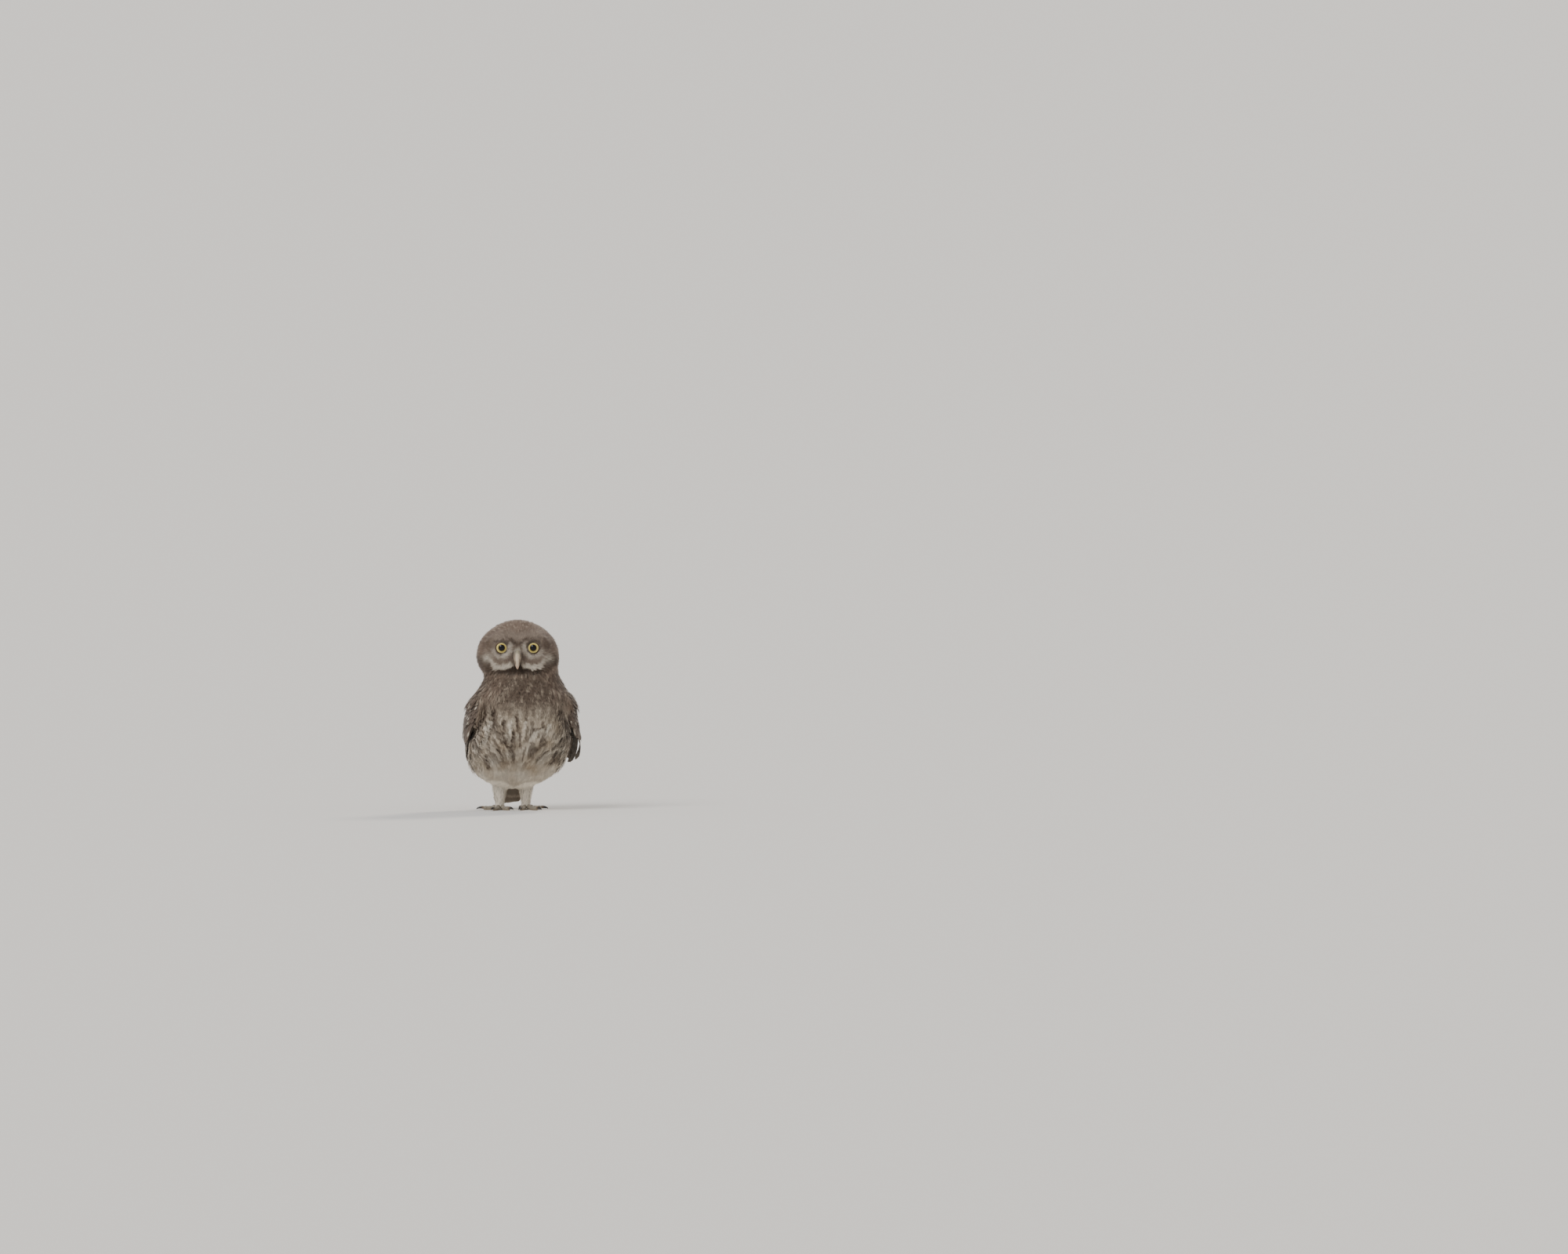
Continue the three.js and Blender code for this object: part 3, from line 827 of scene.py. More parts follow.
def relaxed(points, faces, rounds, pulls=(0.5, -0.53)):
    """Evens out points, or directions at them, by pulling each to the middle of its neighbours and
    back again, so that small steps go without shrinking the shape."""
    ends = np.concatenate([faces[:, [0, 1]], faces[:, [1, 2]], faces[:, [2, 0]]])
    ends = np.concatenate([ends, ends[:, ::-1]])
    counts = np.bincount(ends[:, 0], minlength=len(points))[:, None]
    for pull in pulls * rounds:
        sums = [np.bincount(ends[:, 0], points[ends[:, 1], axis], len(points)) for axis in range(3)]
        points = points + pull * (np.stack(sums, 1) / counts - points)
    return points


def eye_reach(points):
    """For each place: how far it is from the nearer eye seen from the front, sideways and up."""
    aside = np.abs(points[..., 0]) - EYE_APART / 2
    up = points[..., 2] - EYE_HEIGHT
    return np.hypot(aside, up), aside, up


def on_face(points):
    """1 on the front of the head, 0 on its sides, top and back."""
    return smooth(-14, -24, points[..., 1]) * smooth(138, 146, points[..., 2])


def leg_reach(points):
    """How far each place is from the axis of the nearer leg."""
    away = [np.hypot(*(points[..., :2] - axis[:2]).T).T for axis in LEG_AXES.values()]
    return np.minimum(*away)


def coat_depth(points):
    """How deep the plumage is over the skin: thin on face and feet, deepest on the belly."""
    height = points[..., 2]
    reach, _, _ = eye_reach(points)
    trunk = np.interp(height, [22, 34, 60, 100, 128, 150], [3.8, 4.4, 4.4, 4.1, 3.8, 3.6])
    head = blend(4.2, 3.4, smooth(-20, 20, -points[..., 1]))
    depth = blend(trunk, head, smooth(138, 152, height))
    depth = blend(depth, 1.6, on_face(points) * smooth(23, 17, reach))
    depth = blend(depth, 0.3, on_face(points) * smooth(11, 8.5, reach))
    depth = blend(depth, 1.3, smooth(-10, -16, points[..., 1]) * smooth(7.0, 6.2, reach))
    bill = smooth(6.5, 5, np.abs(points[..., 0])) * smooth(-31.5, -32.5, points[..., 1])
    depth = blend(depth, 1.2, bill * smooth(172, 169, height) * smooth(145, 147, height))
    leg = smooth(46, 38, height) * smooth(13, 11, leg_reach(points))
    return blend(depth, np.interp(height, [0, 3, 8, 20, 30, 44], [0.3, 0.8, 1.5, 2.4, 3.2, 4.4]), leg)


def make_skin_surface(hull):
    """The skin as a surface inside the hull of the plumage, the coat's depth over it, and its share
    of wing. The skin is flush along a wing's rim, and sinks under the flight feathers."""
    height = hull.points[:, 2]
    wings = Surface(*node_arrays("wing_left", "wing_right"))
    on_wing = smooth(3.0, 1.4, wings.distance(hull.points))
    around = round_wing(hull.points)
    share, crest = wing_place(around, height)
    above = height - covert_line(around)
    top = smooth(0.34, 0.16, share)
    front = smooth(-2, 2, ahead_of_wing(around, height) + tucked_at(hull.points)) * smooth(84, 92, height)
    wing_share = on_wing * smooth(0.1, 0.4, crest) * smooth(0.0, 0.14, share)
    wing_share = wing_share * smooth(2, 12, above) * (1 - front)
    depth = coat_depth(hull.points) + 2.6 * on_wing * (1 - top)
    under = on_wing * smooth(12, 4, above) * smooth(0.0, 0.06, crest)
    bed = blend(2.3, depth, top)
    inset = blend(blend(depth, 7.6, under), bed, wing_share)
    depth = blend(blend(depth, 0, under), bed, wing_share)
    starts, inward = hull.points - hull.normals * 0.3, -hull.normals
    hits = [hull.tree.ray_cast(start, way) for start, way in zip(starts.tolist(), inward.tolist())]
    room = np.array([100 if hit[3] is None else hit[3] for hit in hits])
    axis = posed(0, 0, height)
    outside = smooth(-0.1, 0.4, (hull.normals * unit((hull.points - axis) * [1, 1, 0])).sum(-1))
    room = room * (0.3 + 0.14 * on_wing + under * blend(-0.2, 0.32, outside))
    inset = np.minimum(inset, room)
    points = hull.points - hull.normals * inset[:, None]
    foot = on_wing * smooth(12, 4, above) * smooth(94, 86, height)  # it goes in under the flight feathers
    low = foot > 0
    places, index = trunk_solid.closest(points[low])
    sunk = places - trunk_solid.normal_at(places, index) * SKIN_UNDER_WING
    points[low] = blend(points[low], sunk, foot[low])
    depth = blend(depth, 0, foot)
    points = raised_round_eyes(relaxed(points, hull.faces, 6))
    surface = Surface(points, hull.faces)
    surface.normals = unit(relaxed(surface.normals, surface.faces, 8, (0.6,)))
    return surface, np.minimum(depth, room), wing_share


LID_REACH = 6.6  # from the eye's line of sight to where the lid meets the feathered skin
LID_AHEAD = 3.0  # from the eye's middle forward to that edge


def raised_round_eyes(points):
    """Brings the skin beside each eye forward to its lids."""
    reach, _, _ = eye_reach(points)
    level = -EYE_FORWARD - LID_AHEAD + 0.3 * (reach - LID_REACH)
    share = smooth(-12, -15, points[:, 1]) * smooth(13.5, 9, reach) * smooth(6.2, 6.6, reach)
    raised = points.copy()
    raised[:, 1] = blend(points[:, 1], np.minimum(points[:, 1], level), share)
    return raised


def make_hull():
    """The outline of the plumage, with the step at the wings' upper edges evened out."""
    inside = ["bill_upper", "bill_lower", "eye_left", "eye_right"]
    points, faces = wrapped(FLESH + inside, 0.15, SKIN_MESH)
    points = relaxed(points, faces, 4)
    height = points[:, 2]
    share, _ = wing_place(round_wing(points), height)
    shoulder = smooth(0.5, 0.25, share) * smooth(92, 100, height) * smooth(138, 132, height)
    even = relaxed(points, faces, 26, (0.5,))
    return Surface(blend(points, even, shoulder), faces)


hull = make_hull()
skin, skin_depth, skin_wing = make_skin_surface(hull)


# Markings and lie of the plumage, shared by skin and coat

def ring_of(reach, radius, width):
    return bell(reach - radius, width)


def sector(angle, middle, half):
    """1 where an angle, in degrees, lies well inside middle +- half."""
    away = np.abs((angle - middle + 180) % 360 - 180)
    return smooth(half + 14, half - 14, away)


def face_markings(points, colour):
    """Pale rings round the eyes, pale crescents on the cheeks, painted shadow under the brows and dark
    patches by the bill.
    """
    reach, aside, up = eye_reach(points)
    height = points[..., 2]
    across = np.abs(points[..., 0])
    angle = np.degrees(np.arctan2(up, aside))  # 0 points away from the bill, 90 up, 180 to the bill
    front = on_face(points)
    fuzz = mottle(points, 5, 31) * 0.8
    reach = reach + fuzz
    colour = blend(colour, FACE_GREY * 0.85, front * smooth(26, 18, reach) * 0.7)
    brown_zone = ring_of(reach, 14, 3.2) * sector(angle, -75, 110)
    colour = blend(colour, DUSKY_BROWN, front * 0.55 * brown_zone)
    outer = smooth(-75, -45, angle)  # the crescent is narrower and nearer the eye on the outer side
    cheek_dark = smooth(5.8, 3.4, np.abs(reach - 27.2 + 4.2 * outer)) * sector(angle, -84, 62)
    ahead = smooth(6, -6, points[..., 1])
    colour = blend(colour, DARK_BROWN * 0.45, np.maximum(front, 0.7) * 0.95 * cheek_dark * ahead)
    thick = 2.9 - 1.5 * outer
    crescent = smooth(thick, thick - 1.2, np.abs(reach - 20.0 + 2.2 * outer)) * sector(angle, -72, 52)
    crescent = crescent * (1 - 0.75 * bell(across - 28.5, 3.2) * bell(height - 153, 3.2))
    cheek_patch = bell(across - 32, 4.5) * bell(height - 159.5, 4.5) * ahead
    pale = np.maximum(0.88 * crescent, 0.8 * cheek_patch) * (0.9 + 0.1 * mottle(points, 2.6, 33))
    colour = blend(colour, OFF_WHITE, np.clip(np.maximum(front, 0.8 * cheek_patch) * pale, 0, 1))
    pale_ring = ring_of(reach, 9.6, 2.6) * np.maximum(sector(angle, 212, 70), 0.75 * sector(angle, -45, 40))
    between = bell(across, 3.2) * bell(height - 167.5, 3.2)
    colour = blend(colour, OFF_WHITE, front * np.maximum(0.52 * pale_ring, 0.7 * between))
    ear_dark = bell(aside - 14.5, 6.5) * bell(up - 2, 6.5)
    colour = blend(colour, DARK_BROWN, np.maximum(front, 0.7) * 0.75 * np.clip(ear_dark, 0, 1))
    # Painted shadow: a dark line under the brows and a dark arc over each eye, where the brows shade the
    # face.
    brow_shadow = bell(height - 174.2 - 0.55 * across - 0.8 * fuzz, 2.5) * smooth(15, 9, across)
    eye_top_shadow = ring_of(reach, 8.1, 1.7) * sector(angle, 95, 62)
    colour = blend(colour, DARK_BROWN * 0.8, front * np.maximum(0.85 * brow_shadow, 0.9 * eye_top_shadow))
    lore = bell(across - 7.2, 2.4) * bell(height - 160.5, 3.4)
    colour = blend(colour, DARK_BROWN, front * 0.62 * lore)
    rim = smooth(7.6, 6.2, reach)
    return blend(colour, LID_DARK, front * 0.7 * rim)


STREAK_APART = 10.5  # between lines of streaks across the top of the breast
STREAK_PITCH = 20  # from streak to streak along a line
STREAK_CLOSING = 0.018  # share of their distance that the lines close up in each millimetre down
STREAK_LINES = 40
STREAKS_ON_LINE = 24


def streak_share(around, height):
    """Long dark streaks in lines that draw together towards the middle of the belly."""
    narrowing = np.exp(-STREAK_CLOSING * np.clip(108 - height, 0, 60))
    across = around / narrowing / STREAK_APART
    rng = np.random.default_rng(52)
    offsets = rng.uniform(-0.3, 0.3, (STREAK_LINES, STREAKS_ON_LINE))
    starts = rng.uniform(0, 1, STREAK_LINES)
    strengths = rng.uniform(0.35, 1, (STREAK_LINES, STREAKS_ON_LINE))
    middle = STREAK_LINES // 2
    share = np.zeros(np.shape(height))
    for neighbour in (0, 1):
        line = (np.floor(across) + neighbour).astype(int) + middle
        line = np.clip(line, 0, STREAK_LINES - 1)
        row_place = height / STREAK_PITCH + starts[line]
        row = np.clip(np.round(row_place).astype(int), 0, STREAKS_ON_LINE - 1)
        away = np.abs(across + middle - line - offsets[line, row]) * STREAK_APART * narrowing
        along = np.abs(row_place - row) * 2
        share = np.maximum(share, smooth(2.3, 1.2, away) * smooth(0.98, 0.7, along) * strengths[line, row])
    return share


# The boldest streaks of breast and belly and one painted wing shadow, from top to bottom as seen from ahead,
# and half their width
BOLD_STREAKS_AND_SHADOW = [
    ((-33, 104), (-42, 80), 5.6),
    ((-22, 106), (-22, 84), 2.3),
    ((-22, 95), (-32, 69), 2.0),
    ((-13, 94), (-13, 78), 1.9),
    ((-21, 88), (-10, 70), 1.9),
    ((-13, 77), (-1, 56), 1.8),
    ((-1, 97), (2, 83), 1.9),
    ((-3, 84), (-5, 46), 2.3),
    ((18, 84), (9, 73), 1.4),
    ((26, 89), (4, 70), 2.1),
    ((28, 75), (9, 58), 2.0),
    ((30, 64), (16, 50), 1.9),
    ((-19, 69), (-13, 53), 2.0),
    ((-7, 69), (-3, 51), 1.8),
    ((-32, 60), (-27, 45), 2.0),
    ((41, 104), (46, 86), 2.4),
    # painted shadow of the left wing's inner edge on the breast, drawn as a streak
    ((46, 90), (50, 70), 2.4),
    ((38, 61), (30, 47), 1.7),
]

# Whitish streaks between them
PALE_STREAKS = [
    ((-26, 94), (-36, 64), 1.5),
    ((-6, 92), (-8, 78), 1.2),
    ((8, 94), (6, 82), 1.3),
    ((24, 85), (8, 71), 1.6),
    ((32, 92), (28, 78), 1.4),
]


def streak_lines(points, lines):
    """1 along the middle of each streak, on the front of the body only."""
    place = points[..., [0, 2]]
    share = np.zeros(place.shape[:-1])
    for top, foot, half in lines:
        top, way = np.array(top), np.array(foot) - top
        along = np.clip(((place - top) * way).sum(-1) / (way**2).sum(), 0, 1)
        away = np.hypot(*np.moveaxis(place - top - along[..., None] * way, -1, 0))
        share = np.maximum(share, smooth(1.7 * half, 0.3 * half, away) * smooth(0, 0.3, 1 - along))
    return share * smooth(12, 2, points[..., 1])


def body_markings(points):
    """Streaked breast and belly with a painted shadow by the left wing, brown back with pale spots, whitish
    flanks, legs and undertail.
    """
    body = unposed(points)
    across, back, height = body[..., 0], body[..., 1], body[..., 2]
    arc = np.arctan2(across, -back)
    around = arc * BODY_WRAP
    clouds = mottle(points, 16, 7)
    fine = mottle(points, 3.4, 8)
    behind = smooth(-6, 12, back + 2 * clouds)
    ground = blend(OFF_WHITE, PALE_BUFF, 0.75 + 0.25 * clouds)
    ground = blend(ground, PALE_BUFF * 0.82, 0.8 * smooth(72, 100, height))
    fringe = mottle(points, 5, 9, (0.6, 1, 3))
    dusky = smooth(90, 116, height + 2 * clouds + 3.5 * fringe - 0.05 * np.abs(around))
    side_brown = smooth(30, 62, np.abs(around)) * smooth(56, 74, height) * 0.5
    colour = blend(ground, DUSKY_BROWN, side_brown)
    throat = blend(DUSKY_BROWN * 0.66, DUSKY_BROWN * 0.9, smooth(24, 44, np.abs(around)))
    colour = blend(colour, throat, 0.9 * dusky)
    streaks = 0.8 * streak_share(around + 0.6 * fine, height)
    streaks = streaks * (0.45 + 0.55 * smooth(46, 58, height)) * (1 - 0.8 * dusky)
    ragged = points + np.stack([0.8 * fine, 0 * fine, 1.5 * clouds], -1)
    # the bold lines hold one painted shadow beside the left wing, darkened like the streaks
    streaks = np.maximum(streaks, streak_lines(ragged, BOLD_STREAKS_AND_SHADOW) * (0.85 + 0.15 * fine))
    colour = blend(colour, STREAK_BROWN * 0.85, 0.97 * streaks)
    colour = blend(colour, OFF_WHITE, 0.8 * streak_lines(ragged, PALE_STREAKS))
    colour = blend(colour, PALE_BUFF, 0.35 * dusky * smooth(0.4, 1.6, fringe))
    colour = blend(colour, DARK_BROWN, 0.3 * dusky * smooth(-0.4, -1.6, fringe))
    colour = blend(colour, OFF_WHITE, 0.35 * smooth(48, 36, height))
    upper = blend(WING_BROWN, CROWN_BROWN, 0.45 + 0.3 * clouds)
    spots = smooth(0.8, 2.0, mottle(points, 7, 12, (1, 1, 1.4)) + 0.5 * fine) * smooth(66, 84, height)
    upper = blend(upper, PALE_BUFF, 0.6 * spots)
    upper = blend(upper, PALE_BUFF, 0.55 * smooth(66, 52, height))
    colour = blend(colour, upper, behind)
    leg = smooth(42, 34, height) * smooth(16, 13, leg_reach(points))
    return blend(colour, OFF_WHITE * 1.25, 0.95 * leg)


def head_markings(points):
    clouds = mottle(points, 13, 21)
    flecks = mottle(points, 3.6, 22)
    colour = blend(CROWN_BROWN, DUSKY_BROWN, 0.3 + 0.3 * clouds)
    colour = blend(colour, PALE_BUFF, 0.42 * smooth(0.5, 1.7, flecks))
    colour = blend(colour, DARK_BROWN, 0.3 * smooth(-0.6, -1.8, flecks))
    nape = smooth(12, 26, points[..., 1]) * bell(points[..., 2] - 156 + 2 * clouds, 7)
    patches = bell(np.abs(points[..., 0]) - 12 + clouds, 6) * smooth(-1.2, 1, flecks)
    colour = blend(colour, PALE_BUFF, 0.6 * nape * patches)
    return face_markings(points, colour)


def markings(points, wing_share=0.0):
    """Colour of the plumage at a place, as light."""
    height = points[..., 2]
    colour = blend(body_markings(points), head_markings(points), smooth(136, 148, height))
    wing = blend(WING_BROWN, CROWN_BROWN, 0.5) * 0.85
    wing = blend(wing, SPOT_WHITE, 0.7 * smooth(1.0, 1.5, mottle(points, 8, 14)))
    return blend(colour, wing, wing_share)


def lie(points, normals, wing_share=0.0):
    """The way the plumage lies at each place on the skin."""
    body = unposed(points)
    height = points[..., 2]
    arc = np.arctan2(body[..., 0], -body[..., 1])
    ahead = smooth(1.9, 1.1, np.abs(arc))
    inward = STREAK_CLOSING * BODY_WRAP * arc * ahead * smooth(116, 96, height) * smooth(38, 60, height)
    before = ahead_of_wing(round_wing(points), height) + tucked_at(points)
    flank = bell(before - 3, 6) * smooth(40, 52, height) * smooth(116, 100, height)
    backward = np.sign(arc) * np.maximum(0.55 * wing_share, 0.6 * flank)
    turn = backward - inward
    trunk = np.stack([turn * np.cos(arc), turn * np.sin(arc), -np.ones_like(arc)], -1)
    under = smooth(-0.3, -0.8, normals[..., 2]) * smooth(56, 40, height)
    trunk[..., 1] += 1.1 * under
    trunk = posed_direction(unit(trunk), height)
    head = unit(points - [0, -33, HEAD_MIDDLE])
    head[..., 2] -= 0.12 + 1.0 * smooth(-8, 26, points[..., 1])
    way = blend(trunk, unit(head), smooth(139, 152, height))
    reach, _, _ = eye_reach(points)
    sides = np.sign(points[..., 0])
    sides = np.where(sides == 0, 1, sides)
    eye_line = np.stack([sides * EYE_APART / 2, points[..., 1], np.full_like(height, EYE_HEIGHT)], -1)
    disc = on_face(points) * smooth(21, 13, reach) * smooth(0.5, 5, np.abs(points[..., 0]))
    way = blend(way, unit(points - eye_line), disc)
    brow = on_face(points) * bell(height - 180, 3.5) * smooth(1, 6, np.abs(points[..., 0]))
    way = way + np.stack([sides * 0.9, 0 * height, 0.2 + 0 * height], -1) * brow[..., None]
    return flat_on(way, normals)


# Tufts: small loose feathers, each a flat pattern of blades bent along the lie of the coat

class Pattern:
    """A tuft seen flat: along it from 0 to 1, across it in half widths, and its rise in millimetres."""

    def __init__(self):
        self.places = []
        self.faces = []

    def add(self, places, faces):
        start = len(self.places)
        self.places += places
        self.faces += [[start + corner for corner in face] for face in faces]

    def core(self, stations, first, last, half):
        """The closed middle of the vane, with a low ridge along its shaft."""
        places = []
        for along in np.linspace(first, last, stations):
            wide = half * math.sin(math.pi * min(0.12 + 0.8 * along, 1)) ** 0.8
            places += [[along, -wide, 0], [along, 0, 0.16], [along, wide, 0]]
        faces = []
        for row in range(stations - 1):
            a = 3 * row
            faces += [[a, a + 1, a + 4], [a, a + 4, a + 3], [a + 1, a + 2, a + 5], [a + 1, a + 5, a + 4]]
        self.add(places, faces)

    def barb(self, along, across, to_along, to_across, width, rise):
        """One thin blade from a place on the vane to its own tip."""
        start = np.array([along, across])
        end = np.array([to_along, to_across])
        way = end - start
        aside = np.array([-way[1], way[0] * 0.35])
        aside *= width / max(np.linalg.norm(aside), 1e-6)
        middle = start + 0.55 * way + 0.06 * np.array([abs(way[1]), 0])
        places = [
            [*(start - aside * 0.5), 0.05],
            [*(start + aside * 0.5), 0.05],
            [*(middle + aside * 0.4), 0.05 + rise * 0.4],
            [*(middle - aside * 0.4), 0.05 + rise * 0.4],
            [*end, rise],
        ]
        faces = [[0, 1, 2], [0, 2, 3], [3, 2, 4]]
        (a, b, c) = (np.array(places[corner][:2])[::-1] for corner in faces[0])
        if (b[0] - a[0]) * (c[1] - a[1]) - (b[1] - a[1]) * (c[0] - a[0]) < 0:
            faces = [face[::-1] for face in faces]
        self.add(places, faces)

    def arrays(self):
        return np.array(self.places), np.array(self.faces)


def contour_pattern(rng, barbs, spread, core_half):
    """A body feather: closed middle, loose barbs down both sides and round the tip."""
    pattern = Pattern()
    pattern.core(4, 0.0, 0.84, core_half)
    for side in (-1, 1):
        for along in np.linspace(0.16, 0.8, barbs):
            start = along + rng.uniform(-0.02, 0.02)
            reach = rng.uniform(0.28, 0.46)
            tip = side * (core_half + spread * rng.uniform(0.4, 1.15) * (1.2 - 0.7 * along))
            pattern.barb(start, side * core_half * 0.6, start + reach, tip, 0.1, rng.uniform(-0.3, 0.4))
    for across in np.linspace(-0.8, 0.8, 5):
        lean = across + rng.uniform(-0.15, 0.15)
        end = rng.uniform(0.97, 1.1)
        pattern.barb(0.76, core_half * across * 0.6, end, lean * 0.6, 0.1, rng.uniform(-0.2, 0.35))
    return pattern.arrays()


def strand_pattern(rng, strands, spread):
    """A small tuft of separate blades that fan out from one root."""
    pattern = Pattern()
    for number in range(strands):
        lean = (number + 0.5) / strands * 2 - 1 + rng.uniform(-0.2, 0.2)
        start = rng.uniform(0, 0.15)
        end = rng.uniform(0.75, 1.1) - 0.2 * abs(lean)
        pattern.barb(start, lean * 0.25, end, lean * spread, 0.2, rng.uniform(-0.2, 0.3))
    return pattern.arrays()


VARIANTS = 4  # patterns of each kind of tuft
TRACE_STEPS = 4  # along a tuft as it bends over the skin
PATCH_SIZE = 0.0028  # a tuft's size on the coat's flat map
CROWN_FOOT = 176  # above it the coat is mapped as a disc


def patterns_of(kind, seed):
    rng = np.random.default_rng(seed)
    makers = {
        "contour": lambda: contour_pattern(rng, 8, 0.6, 0.42),
        "down": lambda: contour_pattern(rng, 9, 0.9, 0.3),
        "small": lambda: contour_pattern(rng, 4, 0.7, 0.45),
        "strands": lambda: strand_pattern(rng, 6, 0.8),
        "wisps": lambda: strand_pattern(rng, 3, 1.0),
    }
    return [makers[kind]() for _ in range(VARIANTS)]


def geometry_tree(name, inputs, output):
    """Geometry nodes with nothing in between: the tree, what it is given and its result."""
    tree = bpy.data.node_groups.new(name, "GeometryNodeTree")
    for title, kind in inputs.items():
        tree.interface.new_socket(title, in_out="INPUT", socket_type="NodeSocket" + kind)
    tree.interface.new_socket(output, in_out="OUTPUT", socket_type="NodeSocketGeometry")
    return tree, tree.nodes.new("NodeGroupInput").outputs, tree.nodes.new("NodeGroupOutput").inputs


def scattered(tree, given, seed):
    """Points spread evenly over the surface, no two nearer than the spacing."""
    scatter = tree.nodes.new("GeometryNodeDistributePointsOnFaces")
    scatter.distribute_method = "POISSON"
    fill(tree, scatter, {"Mesh": given["Surface"], "Distance Min": given["Spacing"]})
    return fill(tree, scatter, {"Density Max": given["Density"], "Seed": seed}).outputs


def root_tree():
    """Geometry nodes that spread roots evenly over a surface."""
    inputs = {"Surface": "Geometry", "Spacing": "Float", "Density": "Float", "Seed": "Int"}
    tree, given, result = geometry_tree("Tuft roots", inputs, "Roots")
    points = tree.nodes.new("GeometryNodePointsToVertices")
    fill(tree, points, {"Points": scattered(tree, given, given["Seed"])["Points"]})
    feed(tree, result["Roots"], points.outputs[0])
    return tree


def with_nodes(piece, tree, values):
    """Puts a node tree on a piece and sets its inputs by name."""
    modifier = piece.modifiers.new(tree.name, "NODES")
    modifier.node_group = tree
    for socket in tree.interface.items_tree:
        if socket.item_type == "SOCKET" and socket.in_out == "INPUT" and socket.name in values:
            modifier[socket.identifier] = values[socket.name]


ROOT_TREE = root_tree()


def roots_over(faces, spacing, seed):
    """Evenly spread roots on some of the skin's faces."""
    patch = mesh_object("patch", skin.points, faces, bpy.data.materials.new("patch"))
    spread = {"Spacing": spacing * MM, "Density": 4 / (spacing * MM) ** 2, "Seed": seed}
    with_nodes(patch, ROOT_TREE, spread)
    mesh = evaluated_copy(patch)
    roots = mesh_points(mesh)
    bpy.data.objects.remove(patch)
    bpy.data.meshes.remove(mesh)
    return roots


def on_skin(points):
    """The nearest places on the skin with their normals, coat depth and share of wing."""
    places, index = skin.closest(points)
    corners = skin.faces[index]
    return places, skin.normal_at(places, index), skin_depth[corners].mean(1), skin_wing[corners].mean(1)


def traced(roots, lengths, wander):
    """Stations along each tuft as it follows the lie of the coat over the skin."""
    stations = []
    guess = roots
    for _ in range(TRACE_STEPS + 1):
        place, normal, depth, wing = on_skin(guess)
        way = lie(place, normal, wing)
        aside = np.cross(way, normal)
        way = way * np.cos(wander)[:, None] + aside * np.sin(wander)[:, None]
        stations.append((place, normal, way, depth, wing))
        guess = place + way * (lengths / TRACE_STEPS)[:, None]
    return [np.stack(values, 1) for values in zip(*stations)]


def between(values, index, part):
    """Values between stations, for each tuft and each point of its pattern."""
    part = part[None, :, None] if values.ndim == 3 else part[None, :]
    return values[:, index] * (1 - part) + values[:, index + 1] * part


def tuft_arrays(roots, kind, length, half_width, seed, lift):
    """Points, triangles, colours, normals and patch places of all the tufts from these roots. They
    rise from the first share of the coat's depth at the root to the second at the tip."""
    rng = np.random.default_rng(seed)
    count = len(roots)
    lengths = length(roots) * rng.uniform(0.82, 1.18, count)
    halves = half_width * rng.uniform(0.85, 1.2, count)
    wander = rng.normal(0, 0.14, count)
    place, normal, way, depth, wing = traced(roots, lengths, wander)
    tilt = rng.normal(0, 0.07, count)
    raised = rng.normal(0, 0.1, count)
    light = rng.normal(0, 0.055, count)
    jitter = rng.normal(0, 0.45, (count, 3))
    variant = rng.integers(0, VARIANTS, count)
    patch_places = unwrapped(roots)
    points, faces, colours, normals, patches = [], [], [], [], []
    start = 0
    for number, (pattern, pattern_faces) in enumerate(patterns_of(kind, seed + 1)):
        chosen = np.flatnonzero(variant == number)
        if not len(chosen):
            continue
        along, across, rise = pattern.T
        station = np.clip(along, 0, 1) * TRACE_STEPS
        index = np.minimum(station.astype(int), TRACE_STEPS - 1)
        part = station - index
        beyond = np.maximum(along - 1, 0)
        stations = (place, normal, way, depth, wing)
        middle, up, ahead, deep, winged = [between(values[chosen], index, part) for values in stations]
        aside = np.cross(ahead, up)
        wide = halves[chosen, None] * across
        ground = middle + aside * wide[..., None] + ahead * (beyond * lengths[chosen, None])[..., None]
        share = np.clip(along, 0, 1.1) ** 0.85
        height = deep * (lift[0] + (lift[1] - lift[0]) * share * (1 + raised[chosen, None]))
        height = height + rise * np.minimum(deep / 3, 1) + tilt[chosen, None] * wide
        height = height - np.abs(across) ** 2 * halves[chosen, None] * 0.18
        body = ground + up * height[..., None]
        tone = markings(ground + jitter[chosen][:, None], winged)
        shade = 1 + light[chosen, None] + 0.1 * (along - 0.6) + 0.05 * np.sin(37 * across + 11 * along)
        tone = blend(tone * shade[..., None], DOWN_GREY * 1.15, 0.4 * smooth(0.4, 0.1, along))
        points.append(body.reshape(-1, 3))
        colours.append(tone.reshape(-1, 3))
        normals.append(up.reshape(-1, 3))
        size = len(pattern)
        firsts = start + np.arange(len(chosen)) * size
        faces.append((firsts[:, None, None] + pattern_faces[None]).reshape(-1, 3))
        local = np.stack([across * 0.5, along - 0.5], -1) * PATCH_SIZE
        patches.append((patch_places[chosen][:, None] + local).reshape(-1, 2))
        start += len(chosen) * size
    return [np.concatenate(group) for group in (points, faces, colours, normals, patches)]


